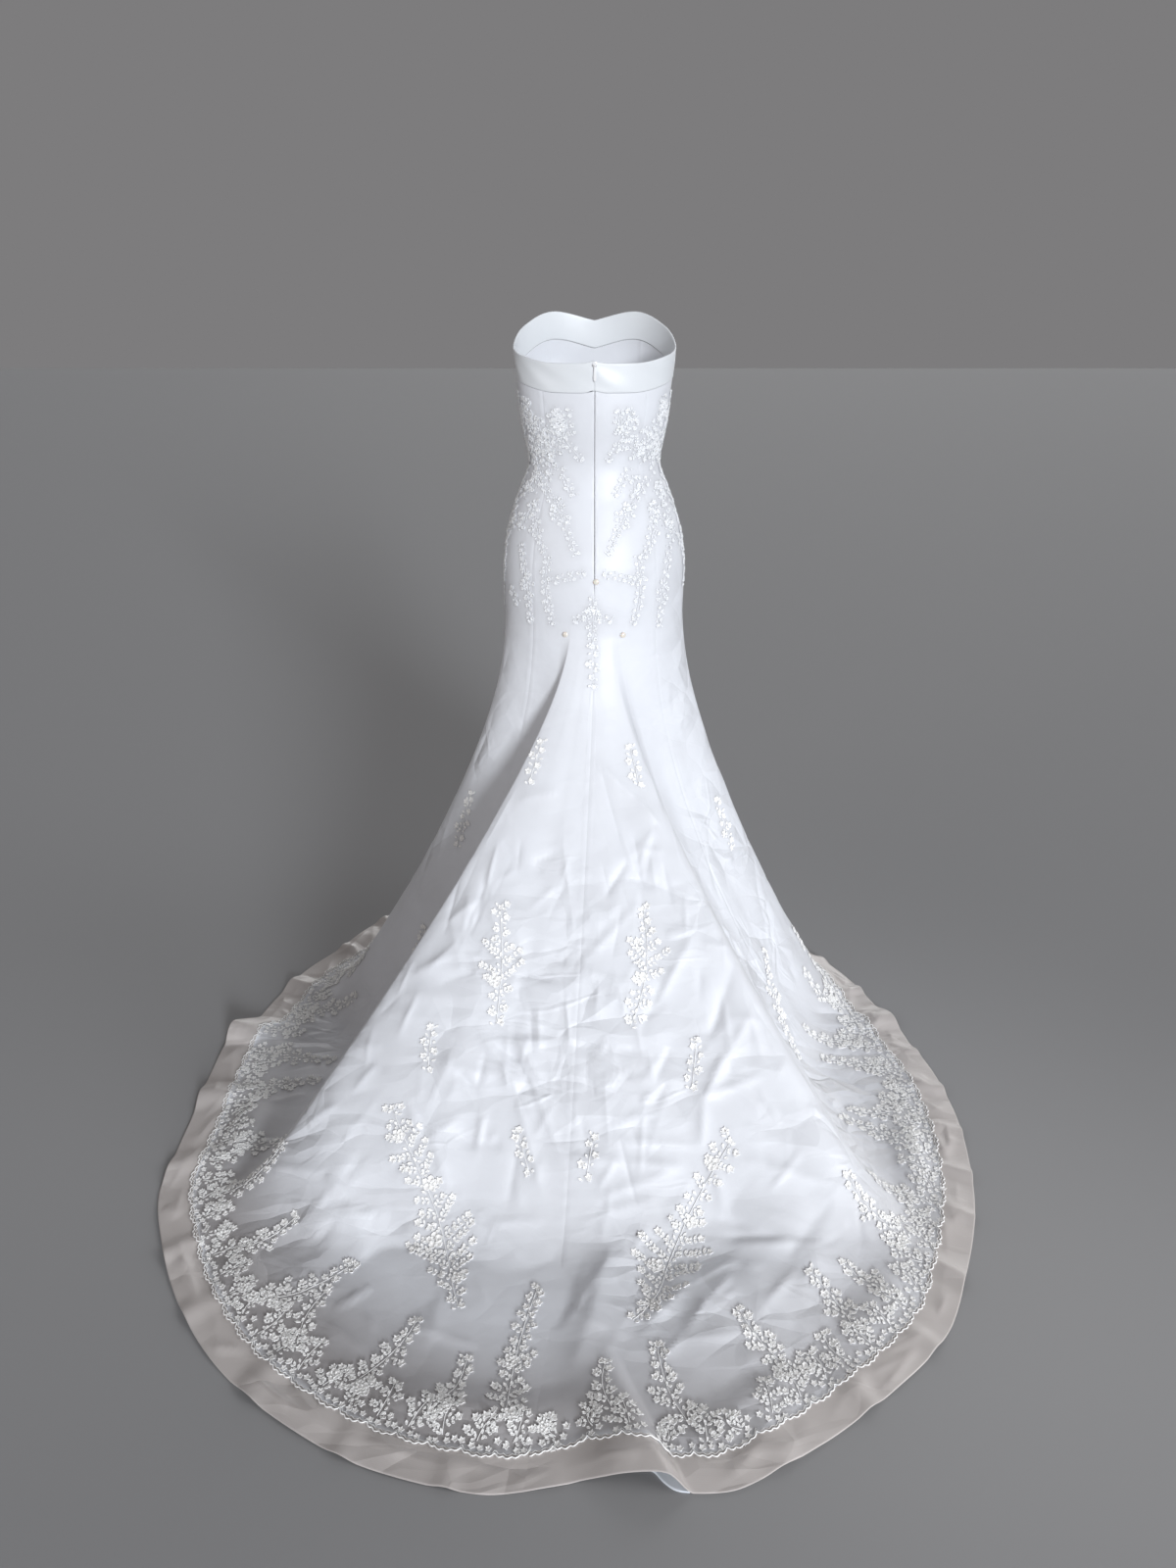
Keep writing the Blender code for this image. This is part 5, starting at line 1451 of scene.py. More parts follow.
@dataclass
class LaceWork:
    """Corded petals, leaves, stems and beads laid on the cloth, for one piece."""

    surface: GownSurface
    rng: np.random.Generator
    cord_mm: float = 0.6
    lift_mm: float = 0.35
    motifs: dict[Motif, list[Array]] = field(
        default_factory=lambda: {motif: [] for motif in Motif})
    beads: list[Array] = field(default_factory=list)
    parts: MeshParts = field(default_factory=MeshParts)

    def stem(self, locate: Callable[[Array, Array], tuple[Array, Array]],
             head: tuple[float, float], foot: tuple[float, float], bow: float,
             count: int) -> Stems:
        """Stations from the head to the foot, bowed to the left by a half sine.

        Args:
            locate: turns azimuths and distances into columns and rows.
            head: azimuth and distance or height of the head.
            foot: the same of the foot.
            bow: how far the middle stands to the left.
            count: number of stations.

        Returns:
            The stations and their frames.
        """
        share = np.linspace(0.0, 1.0, count)
        column, row = locate(head[0] + (foot[0] - head[0]) * share,
                             head[1] + (foot[1] - head[1]) * share)
        column = np.unwrap(column, period=self.surface.columns)
        _, left = self._frame(column, row)
        offset = left * (bow * np.sin(math.pi * share))[:, None]
        column, row = self.surface.shift(column, row, offset)
        return Stems(column, row, *self._frame(column, row))

    def _frame(self, column: Array, row: Array) -> tuple[Array, Array]:
        """Directions towards the head and to the left along a line of stations.

        Args:
            column: the stations' columns.
            row: their rows.

        Returns:
            Two arrays of unit vectors.
        """
        point, normal = self.surface.sample(column, row)
        ahead = unit(-np.gradient(point, axis=0))
        return ahead, unit(np.cross(normal, ahead))

    def _beside(self, stems: Stems, index: Array, x: Array, y: Array) -> tuple[Array, Array]:
        """Points and normals at offsets from stations: to the left, towards the head.

        Args:
            stems: the line of stations.
            index: which station each offset is from.
            x: offset to the left.
            y: offset towards the head.

        Returns:
            Points and unit normals.
        """
        offset = stems.left[index] * x[:, None] + stems.ahead[index] * y[:, None]
        return self.surface.sample(
            *self.surface.shift(stems.column[index], stems.row[index], offset))

    def place(self, stems: Stems, index: Array, x: Array, y: Array, angle: Array,
              length_mm: Array, width_mm: Array, curl_mm: Array,
              motif: Motif = Motif.PETAL) -> None:
        """Lay motifs at offsets from stations.

        Args:
            stems: the stations.
            index: which station each motif belongs to.
            x: offset to the left of the stem, metres.
            y: offset towards the head, metres.
            angle: heading from the stem's direction towards its left, radians.
            length_mm: length of a petal, or width of a blossom.
            width_mm: width of a petal.
            curl_mm: how far its tip or rim lifts.
            motif: which shape.
        """
        ahead, left = stems.ahead[index], stems.left[index]
        point, normal = self._beside(stems, index, x, y)
        heading = ahead * np.cos(angle)[:, None] + left * np.sin(angle)[:, None]
        heading = unit(heading - normal * (heading * normal).sum(1)[:, None])
        sizes = np.stack(np.broadcast_arrays(length_mm, width_mm, curl_mm), axis=1) * 1e-3
        sizes = np.broadcast_to(sizes, (len(point), 3))
        self.motifs[motif].append(np.concatenate((point, normal, heading, sizes), axis=1))

    def rose(self, stems: Stems, index: int, x: float, y: float, size_mm: float) -> None:
        """Five broad petals, five small ones above them and three beads.

        Args:
            stems: the line of stations.
            index: the station it sits at.
            x: offset to the left.
            y: offset towards the head.
            size_mm: its width.
        """
        turn = self.rng.uniform(0.0, 2.0 * math.pi)
        for level, (reach, curl, width) in enumerate(ROSE_LEVELS):
            angle = turn + (np.arange(5) + 0.5 * level) * 0.4 * math.pi
            start = 0.05 * size_mm * 1e-3
            self.place(stems, np.full(5, index), x + start * np.sin(angle),
                       y + start * np.cos(angle), angle,
                       size_mm * reach * self.rng.uniform(0.9, 1.12, 5),
                       size_mm * reach * width * self.rng.uniform(0.9, 1.1, 5),
                       curl * self.rng.uniform(0.7, 1.4, 5))
        self.bead(stems, np.full(3, index), x + self.rng.normal(0.0, 0.0011, 3),
                  y + self.rng.normal(0.0, 0.0011, 3), 1.1, 3.0)

    def bead(self, stems: Stems, index: Array, x: Array, y: Array, radius_mm: float,
             lift_mm: float) -> None:
        """Sew small beads at offsets from stations.

        Args:
            stems: the line of stations.
            index: each bead's station.
            x: offsets to the left.
            y: offsets towards the head.
            radius_mm: radius of a bead.
            lift_mm: height of its centre above the cloth.
        """
        point, normal = self._beside(stems, index, x, y)
        radius = np.full((len(point), 1), radius_mm * 1e-3)
        self.beads.append(np.concatenate((point + normal * lift_mm * 1e-3, radius), axis=1))

    def spray(self, stems: Stems, half_width: Array, sizes: Sizes, rose_every: int) -> None:
        """Fill an outline about a stem with twigs of leaves that end in blossoms.

        A twig leaves the stem at every station, on alternate sides, and slants towards
        the head out to the half width. Leaves stand in pairs along it, a blossom at its
        end and another on its way. Roses sit on the stem. A cord runs along it.

        Args:
            stems: stations from head to foot.
            half_width: of the outline at each station.
            sizes: usual sizes of leaves, blossoms and roses.
            rose_every: stations from one rose to the next, or 0 for none.
        """
        rng = self.rng
        leaves, blossoms = [], []
        side = 1.0 if rng.uniform() < 0.5 else -1.0
        for station in range(len(stems.column)):
            width = float(half_width[station])
            side = -side
            if rose_every and station % rose_every == rose_every // 2 and width > 0.012:
                self.rose(stems, station, -0.3 * side * width, 0.0,
                          sizes.rose * rng.uniform(0.85, 1.1))
            lean = side * rng.uniform(*TWIG_LEAN)
            reach = max(width / abs(math.sin(lean)) * rng.uniform(*TWIG_REACH), 0.004)
            nodes = max(1, round(reach / (sizes.leaf * 0.90e-3)))
            for node in range(nodes):
                along = reach * (node + rng.uniform(0.2, 0.6)) / nodes
                x, y = along * math.sin(lean), along * math.cos(lean)
                for turn in (-1.0, 1.0):
                    leaves.append((station, x, y, lean + turn * rng.uniform(*LEAF_TURN)))
                if nodes > 3 and node == nodes // 2:
                    blossoms.append((station, x, y, 0.8))
            blossoms.append((station, reach * math.sin(lean), reach * math.cos(lean), 1.0))
            leaves.append((station, -0.004 * side, rng.normal(0.0, 0.002),
                           -side * rng.uniform(0.4, 1.3)))
        blossoms.append((0, 0.0, 0.003, 0.9))
        index, x, y, angle = np.array(leaves).T
        count = len(index)
        self.place(stems, index.astype(int), x, y, angle,
                   sizes.leaf * rng.uniform(*LEAF_LENGTH, count),
                   sizes.leaf * rng.uniform(*LEAF_WIDTH, count),
                   rng.uniform(*LEAF_CURL, count))
        index, x, y, scale = np.array(blossoms).T
        count = len(index)
        self.place(stems, index.astype(int), x, y, rng.uniform(*ANY_TURN, count),
                   sizes.blossom * scale * rng.uniform(*BLOSSOM_WIDTH, count), 0.0,
                   rng.uniform(*BLOSSOM_CURL, count), Motif.BLOSSOM)
        self.bead(stems, index.astype(int), x, y, *BLOSSOM_BEAD)
        self.cord(stems.column, stems.row, 0.55)

    def cord(self, column: Array, row: Array, radius_mm: float) -> None:
        """A cord along columns and rows: a four-sided tube half sunk in the lace.

        Args:
            column: the line's columns.
            row: its rows.
            radius_mm: half the cord's width.
        """
        point, normal = self.surface.sample(column, row)
        radius = radius_mm * 1e-3
        ahead = unit(np.gradient(point, axis=0))
        side = unit(np.cross(normal, ahead)) * radius
        middle = point + normal * (radius + self.lift_mm * 1e-3)
        self.parts.carry(np.stack((middle + side, middle + normal * radius, middle - side,
                                   middle - normal * radius), axis=1))

    def _lay(self, motif: Motif) -> None:
        """Turn every motif into a dished shape with a raised cord round its edge.

        A petal's outline is x = half width * sin(t) * (1 - 0.18 * cos(t)), broader near
        the base, and y = length * (1 - cos(t)) / 2. A blossom's radius is half its size *
        (0.6 + 0.4 * |sin(2.5 t)|), which makes five lobes. Each outline is carried at
        three scales: the foot of the cord, its crest, and the net's edge inside it. The
        rim lifts with the square of the distance from the base or the centre.

        Args:
            motif: which kind is laid.
        """
        data = np.concatenate(self.motifs[motif])
        point, normal, heading = (data[:, None, 3 * k:3 * k + 3] for k in range(3))
        length, width, curl = (data[:, 9 + k][:, None] for k in range(3))
        side = np.cross(normal, heading)
        sides = motif.value
        first = 0.5 if motif is Motif.PETAL else 0.0
        turn = ((np.arange(sides) + first) * 2.0 * math.pi / sides)[None, :]
        cord = self.cord_mm * 1e-3
        rings = []
        for inset, height in ((0.0, 0.0), (1.0, 1.5), (2.0, 0.6)):
            if motif is Motif.PETAL:
                half_width = np.maximum(0.5 * width - inset * cord, 0.12 * width)
                half_length = np.maximum(0.5 * length - inset * cord, 0.15 * length)
                along = 0.5 * length - half_length * np.cos(turn)
                aside = half_width * np.sin(turn) * (1.0 - 0.18 * np.cos(turn))
                reach = along / length
            else:
                lobes = 0.60 + 0.40 * np.abs(np.sin(2.5 * turn))
                radius = np.maximum(0.5 * length * lobes - inset * cord, 0.1 * length)
                along, aside = -radius * np.cos(turn), radius * np.sin(turn)
                reach = 2.0 * radius / length
            up = self.lift_mm * 1e-3 + height * cord + curl * reach ** 2
            rings.append(point + heading * along[..., None] + side * aside[..., None]
                         + normal * up[..., None])
        centre, share = (0.5, 0.25) if motif is Motif.PETAL else (0.0, 0.05)
        rise = (self.lift_mm * 1e-3 + share * curl)[..., None]
        middle = point + heading * (centre * length)[..., None]
        block = np.concatenate(rings + [middle + normal * (rise + 0.3 * cord)], axis=1)
        count, size = block.shape[:2]
        step = np.arange(sides)
        after = (step + 1) % sides
        bands = np.concatenate([np.stack((low + step, low + after, low + sides + after,
                                          low + sides + step), axis=1)
                                for low in (0, sides)])
        fan = np.stack((2 * sides + step, 2 * sides + after, np.full(sides, 3 * sides)), axis=1)
        start = (np.arange(count) * size)[:, None, None]
        self.parts.add(block, (start + flip(bands)[None]).reshape(-1, 4))
        self.parts.join((start + flip(fan)[None]).reshape(-1, 3), block.size // 3, 1)
        self.parts.join((start + step[None, None]).reshape(-1, sides), block.size // 3, 1)

    def _lay_beads(self) -> None:
        """Turn every bead into an eight-sided solid: six points on the axes."""
        data = np.concatenate(self.beads)
        corners = np.array(((1, 0, 0), (0, 1, 0), (-1, 0, 0), (0, -1, 0), (0, 0, 1), (0, 0, -1)))
        block = data[:, None, :3] + corners[None] * data[:, None, 3:4]
        faces = np.array([(k, (k + 1) % 4, 4) for k in range(4)]
                         + [((k + 1) % 4, k, 5) for k in range(4)])
        start = (np.arange(len(data)) * 6)[:, None, None]
        self.parts.add(block, (start + faces[None]).reshape(-1, 3), slot=2)

    def petal_places(self) -> Array:
        """Places of all petals and blossoms, in the frame."""
        laid = [data[:, :3] for group in self.motifs.values() for data in group]
        return to_frame(np.concatenate(laid))

    def build(self, name: str, wardrobe: Wardrobe, fine: bool = False) -> Piece:
        """Make the lace piece's object, of the body's greyer cord and net with painted shade, or of
        the others.

        Args:
            name: the object's name.
            wardrobe: where materials come from.
            fine: whether it lies on the body.

        Returns:
            The object.
        """
        for motif in Motif:
            if self.motifs[motif]:
                self._lay(motif)
        if self.beads:
            self._lay_beads()
        cord, net = (BODY_CORD_PAINTED_SHADE, BODY_NET_PAINTED_SHADE) if fine else (LACE_CORD, LACE_NET)
        return self.parts.build(name, (wardrobe.get(cord), wardrobe.get(net),
                                       wardrobe.get(BEAD)))


# Branches that grow inwards from the border: hem azimuth, lean of the tip in degrees,
# distance of the tip from the hem, half width in degrees.
BRANCHES = (
    (-176, 2, 0.215, 2.6), (-166, -2, 0.19, 2.2), (-148, 2, 0.23, 2.6), (-136, -1, 0.2, 2.4),
    (-121, 3, 0.215, 2.6), (-109, -2, 0.19, 2.4), (-99, 2, 0.225, 2.6), (-88, -2, 0.205, 2.4),
    (-76, 3, 0.2, 2.6), (-66, -3, 0.225, 2.6), (-56, 2, 0.19, 2.2), (-47, 2, 0.25, 2.4),
    (-38.5, 1.5, 0.19, 2), (-30.5, -1, 0.215, 2.2), (-22, 3, 0.235, 2.4), (-9, 1.5, 0.23, 2.4),
    (-1.5, 0.5, 0.18, 1.8), (8.8, 0.2, 0.345, 2.4), (16, -1, 0.2, 1.8), (25, -2, 0.235, 2.2),
    (33, 3, 0.19, 2), (40.5, -4, 0.255, 2.4), (50, -1.5, 0.215, 2.2), (60, -2, 0.24, 2.4),
    (70, -4, 0.265, 2.6), (82, 2, 0.215, 2.6), (94, -3, 0.23, 2.6), (106, 2, 0.2, 2.4),
    (118, -2, 0.215, 2.6), (131, 3, 0.195, 2.4), (143, -2, 0.23, 2.6), (152, 1, 0.2, 2.4),
    (170, -3, 0.215, 2.4),
)

# Sprays on the skirt: name, hem azimuth and distance from the hem at the head and at the
# foot, bow to the left, reach of the leaves.
SKIRT_SPRAYS = (
    ("train_left", 44, 0.47, 19, 0.285, -0.03, 0.062),
    ("train_right", -29.5, 0.475, -5, 0.265, 0.035, 0.062),
    ("middle_left", 39.5, 0.885, 30, 0.735, -0.01, 0.042),
    ("middle_right", -22.5, 0.935, -11, 0.785, -0.012, 0.042),
    ("upper_left", 52.5, 1.115, 49, 1.06, 0, 0.017),
    ("upper_right", -38.5, 1.145, -37, 1.08, 0, 0.018),
    ("gore_left", 109, 0.71, 106, 0.63, 0, 0.018), ("gore_right", -110, 0.63, -108, 0.54, 0, 0.018),
    ("fold_left", 103, 0.47, 92, 0.33, 0.01, 0.026),
    ("fold_right", -101, 0.38, -82, 0.29, 0.01, 0.026),
    ("small_left", 44, 0.62, 41, 0.57, 0, 0.018), ("small_right", -29, 0.655, -25, 0.6, 0, 0.018),
    ("low_left", 18.5, 0.6, 14.5, 0.54, 0, 0.016), ("low_right", 0.5, 0.575, 2, 0.515, 0, 0.016),
    ("center_back", 6.2, 1.405, 6.2, 1.482, 0, 0.014),
    ("front_left", 152, 0.56, 148, 0.44, 0.01, 0.028),
    ("front_right", -152, 0.54, -148, 0.42, -0.01, 0.028),
)
# Sprays on the body: the same with body azimuths and heights. A name that comes again
# adds a vine to the same piece.
BODY_SPRAYS = (
    ("bodice_left", 20, 1.225, 50, 1.14, -0.016, 0.026),
    ("bodice_left", 12, 1.143, 25, 1.178, 0, 0.01), ("bodice_left", 17, 1.083, 30, 1.124, 0, 0.01),
    ("bodice_right", -18, 1.225, -50, 1.14, 0.016, 0.026),
    ("bodice_right", -12, 1.143, -25, 1.178, 0, 0.01),
    ("bodice_right", -17, 1.083, -30, 1.124, 0, 0.01),
    ("side_left", 84, 1.245, 78, 0.94, 0.01, 0.026), ("side_left", 62, 1.235, 60, 1.11, 0, 0.022),
    ("side_right", -84, 1.245, -80, 0.94, -0.01, 0.026),
    ("side_right", -62, 1.235, -60, 1.11, 0, 0.022),
    ("hip_left", 12, 0.985, 52, 1.105, 0.016, 0.018),
    ("hip_left", 44, 0.85, 54, 0.99, 0.006, 0.016),
    ("hip_left", 34, 0.985, 48, 1.07, -0.006, 0.015),
    ("hip_right", -9, 0.985, -50, 1.105, -0.016, 0.018),
    ("hip_right", -45, 0.845, -56, 0.985, -0.006, 0.017),
    ("hip_right", -33, 0.975, -47, 1.065, 0.006, 0.015),
    ("vine_left", 27, 0.855, 30, 0.975, -0.008, 0.014), ("vine_left", 7, 0.948, 29, 0.93, 0, 0.009),
    ("vine_right", -25, 0.855, -28, 0.975, 0.008, 0.014),
    ("vine_right", -7, 0.948, -29, 0.93, 0, 0.009), ("center_back", 1, 0.823, 1, 0.905, 0, 0.02),
    ("center_back", 11, 0.862, 0.5, 0.885, 0, 0.009),
    ("center_back", -9, 0.862, 2.5, 0.885, 0, 0.009),
    ("front_hip_left", 122, 1.1, 158, 0.985, 0.014, 0.024),
    ("front_hip_right", -122, 1.1, -158, 0.985, -0.014, 0.024),
)


@dataclass
class Lace:
    """The scalloped border and the separate sprays."""

    surface: GownSurface
    wardrobe: Wardrobe
    scallop_pitch: float = 0.050
    scallop_depth: float = 0.008
    # How full a scallop's lobe is: 1 is a sine, less is fuller.
    scallop_power: float = 0.6
    picots: int = 4
    picot_mm: float = 3.6
    # Cords along the edge: distance inwards, radius in mm, and points in each degree.
    edge_cords: tuple[tuple[float, float], ...] = ((0.0, 1.1), (0.0045, 0.7))
    edge_points: float = 6.0
    # Blossoms of one scallop: places in half pitches, range of widths in mm. Then the
    # twigs of the tuft above them, and the distance from the hem at which it ends.
    row_places: tuple[float, ...] = (-0.75, -0.25, 0.25, 0.75)
    row_mm: tuple[float, float] = (10.5, 13.0)
    tuft: int = 6
    base: float = 0.116
    # How far below that a branch starts.
    branch_root: float = 0.015
    # Sprigs on each side of the body: number, first azimuth and how far they reach.
    sprigs: int = 42
    sprig_turn: tuple[float, float] = (24.0, 74.0)
    # Their lowest height and how far it sinks, the azimuth where it begins to sink and
    # over how many degrees. Then their greatest height.
    sprig_low: tuple[float, float, float, float] = (1.20, 0.33, 20.0, 45.0)
    sprig_top: float = 1.232
    # Distance between the twigs of a spray, and of a branch.
    pitch: float = 0.0115
    branch_pitch: float = 0.0105
    # Twigs from one rose to the next, in a spray and in a branch.
    rose_every: int = 7
    branch_rose_every: int = 9
    # The body's motifs against the skirt's.
    body_scale: float = 0.66
    petals: list[Array] = field(default_factory=list)

    def build(self) -> dict[str, list[Piece]]:
        """Make every lace piece.

        Returns:
            Lace pieces by their panel's place.
        """
        laid: dict[str, list[Piece]] = {}
        for index, (place, *_) in enumerate(self.surface.panels):
            laid[place] = [self._border(index, place)]
        rows: dict[str, list[tuple]] = {}
        for table, locate, scale in ((SKIRT_SPRAYS, self.surface.on_skirt, 1.0),
                                     (BODY_SPRAYS, self.surface.on_body, self.body_scale)):
            for row in table:
                rows.setdefault(row[0], []).append((locate, scale, row))
        for seed, (name, group) in enumerate(rows.items()):
            piece, place = self._spray(seed, name, group)
            laid[place].append(piece)
        return laid

    def _panel_at(self, column: float) -> str:
        """The place of the panel that holds a column.

        Args:
            column: a fractional column.

        Returns:
            The panel's place.
        """
        turn = column % self.surface.columns
        index = int(np.searchsorted(self.surface.seams, turn, side="right")) - 1
        return self.surface.panels[index][0]

    def _spray(self, seed: int, name: str, group: list[tuple]) -> tuple[Piece, str]:
        """One separate spray with its vines.

        Args:
            seed: number of the spray.
            name: its node's name after the prefix.
            group: the table's rows for it, each with its locator and scale.

        Returns:
            The piece and the place of the panel under it.
        """
        work = LaceWork(self.surface, np.random.default_rng(100 + seed))
        place = ""
        for locate, scale, (_, head_turn, head, foot_turn, foot, bow, reach) in group:
            ends, _ = self.surface.sample(*locate(np.array((head_turn, foot_turn)),
                                                  np.array((head, foot))))
            length = np.linalg.norm(ends[1] - ends[0])
            count = max(3, int(length / (self.pitch * scale)))
            stems = work.stem(locate, (head_turn, head), (foot_turn, foot), bow, count)
            share = np.linspace(0.0, 1.0, count)
            lobes = 0.72 + 0.28 * np.sin(share * 11.0 + seed)
            half_width = reach * np.sin(math.pi * (0.10 + 0.82 * share ** 1.5)) * lobes
            sizes = Sizes(*(scale * size for size in SPRAY_SIZES))
            work.spray(stems, half_width, sizes, self.rose_every if count > 6 else 0)
            place = place or self._panel_at(float(stems.column[count // 2]))
        if name.startswith("side"):
            self._sprigs(work, 1.0 if name.endswith("left") else -1.0)
        piece = work.build("corded_spray_" + name, self.wardrobe, fine=scale < 1.0)
        self.petals.append(work.petal_places())
        dress(piece, ["spray_" + name])
        return piece, place

    def _sprigs(self, work: LaceWork, side: float) -> None:
        """Short sprigs that fill the side of the body, fewer towards the centre back.

        Args:
            work: the spray they join.
            side: 1 on the left, -1 on the right.
        """
        rng = work.rng
        first, reach = self.sprig_turn
        lowest, sink, sink_from, sink_over = self.sprig_low
        for _ in range(self.sprigs):
            azimuth = first + reach * rng.uniform() ** 0.7
            low = lowest - sink * min((azimuth - sink_from) / sink_over, 1.0)
            height = low + (self.sprig_top - low) * rng.uniform() ** 0.8
            turn = rng.uniform(-9.0, 9.0)
            head = (side * azimuth, height + rng.uniform(0.008, 0.016))
            foot = (side * (azimuth + turn), height - rng.uniform(0.010, 0.022))
            stems = work.stem(self.surface.on_body, head, foot, rng.uniform(-0.003, 0.003), 4)
            work.spray(stems, rng.uniform(0.006, 0.012) * np.array((0.7, 1.0, 1.0, 0.6)),
                       SPRIG_SIZES, 0)

    def _border(self, index: int, place: str) -> Piece:
        """The border on one panel: scalloped cords, a band of flowers, and branches.

        Args:
            index: the panel's number round the gown.
            place: its name's end.

        Returns:
            The piece.
        """
        surface = self.surface
        work = LaceWork(surface, np.random.default_rng(500 + index))
        first = surface.hem_azimuth[surface.seams[index]]
        column_end = surface.seams[index + 1]
        last = (surface.hem_azimuth[0] + 360.0 if column_end == surface.columns
                else surface.hem_azimuth[column_end])
        self._edge(work, first, last)
        self._filling(work, first, last)
        for azimuth, lean, tip, half in BRANCHES:
            turn = (azimuth - surface.hem_azimuth[0]) % 360.0 + surface.hem_azimuth[0]
            if first <= turn < last:
                self._branch(work, turn, lean, tip, half)
        piece = work.build("corded_lace_border_" + place, self.wardrobe)
        self.petals.append(work.petal_places())
        dress(piece, ["lace_border_" + place])
        return piece

    def _edge(self, work: LaceWork, first: float, last: float) -> None:
        """Two cords along the scallops: lobes of |sin| with small picots on them.

        Args:
            work: the border's lace.
            first: hem azimuth where it starts.
            last: where it ends.
        """
        fine = np.linspace(first, last, int((last - first) * self.edge_points))
        radius = hem_radius(fine)
        arc = np.concatenate(([0.0], np.cumsum(np.radians(np.diff(fine)) * radius[1:])))
        phase = math.pi * arc / self.scallop_pitch
        lobe = np.abs(np.sin(phase)) ** self.scallop_power
        picot = self.picot_mm * 1e-3 * np.abs(np.sin(phase * self.picots))
        for inset, radius_mm in self.edge_cords:
            distance = (LACE_EDGE + 0.5 * self.scallop_depth - self.scallop_depth * lobe
                        - picot + inset)
            column, row = self.surface.on_skirt(fine, distance)
            # Unwrapped, so that the cord doesn't jump where the ring closes.
            work.cord(np.unwrap(column, period=self.surface.columns), row, radius_mm)

    def _filling(self, work: LaceWork, first: float, last: float) -> None:
        """A row of blossoms along the scallops, and a tuft of twigs above each.

        Args:
            work: the border's lace.
            first: hem azimuth where it starts.
            last: where it ends.
        """
        rng = work.rng
        middle = 0.5 * (first + last)
        pitch = math.degrees(self.scallop_pitch / float(hem_radius(middle)))
        reach = 0.5 * self.scallop_pitch
        for number in range(max(1, int((last - first) / pitch))):
            azimuth = first + (number + 0.5) * pitch
            tip = self.base + rng.uniform(-0.018, 0.014)
            stems = work.stem(self.surface.on_skirt, (azimuth + rng.normal(0.0, 0.5), tip),
                              (azimuth, LACE_EDGE + 0.016), rng.normal(0.0, 0.006), self.tuft)
            share = np.linspace(0.35, 1.0, self.tuft)
            work.spray(stems, reach * share * rng.uniform(0.75, 1.05), BORDER_SIZES,
                       rng.choice((0, 0, 4)))
            count = len(self.row_places)
            foot = np.full(count, self.tuft - 1)
            x = reach * (np.array(self.row_places) + rng.normal(0.0, 0.05, count))
            y = -0.009 + 0.004 * np.abs(x) / reach + rng.normal(0.0, 0.0008, count)
            work.place(stems, foot, x, y, rng.uniform(*ANY_TURN, count),
                       rng.uniform(*self.row_mm, count), 0.0, rng.uniform(0.6, 1.8, count),
                       Motif.BLOSSOM)
            work.bead(stems, foot, x, y, *BLOSSOM_BEAD)

    def _branch(self, work: LaceWork, azimuth: float, lean: float, tip: float, half: float) -> None:
        """One branch that grows from the border inwards to its tip.

        Args:
            work: the border's lace.
            azimuth: hem azimuth of its foot.
            lean: degrees from the foot to the tip.
            tip: the tip's distance from the hem.
            half: half its width in degrees at the hem.
        """
        length = tip - self.base + 2.0 * self.branch_root
        count = max(5, int(length / self.branch_pitch))
        stems = work.stem(self.surface.on_skirt, (azimuth + lean, tip),
                          (azimuth, self.base - self.branch_root),
                          0.008 * math.copysign(1.0, lean), count)
        reach = math.radians(half) * float(hem_radius(azimuth))
        share = np.linspace(0.0, 1.0, count)
        half_width = reach * (0.22 + 0.78 * share) * (0.78 + 0.22 * np.sin(share * count))
        work.spray(stems, half_width, BRANCH_SIZES, self.branch_rose_every)


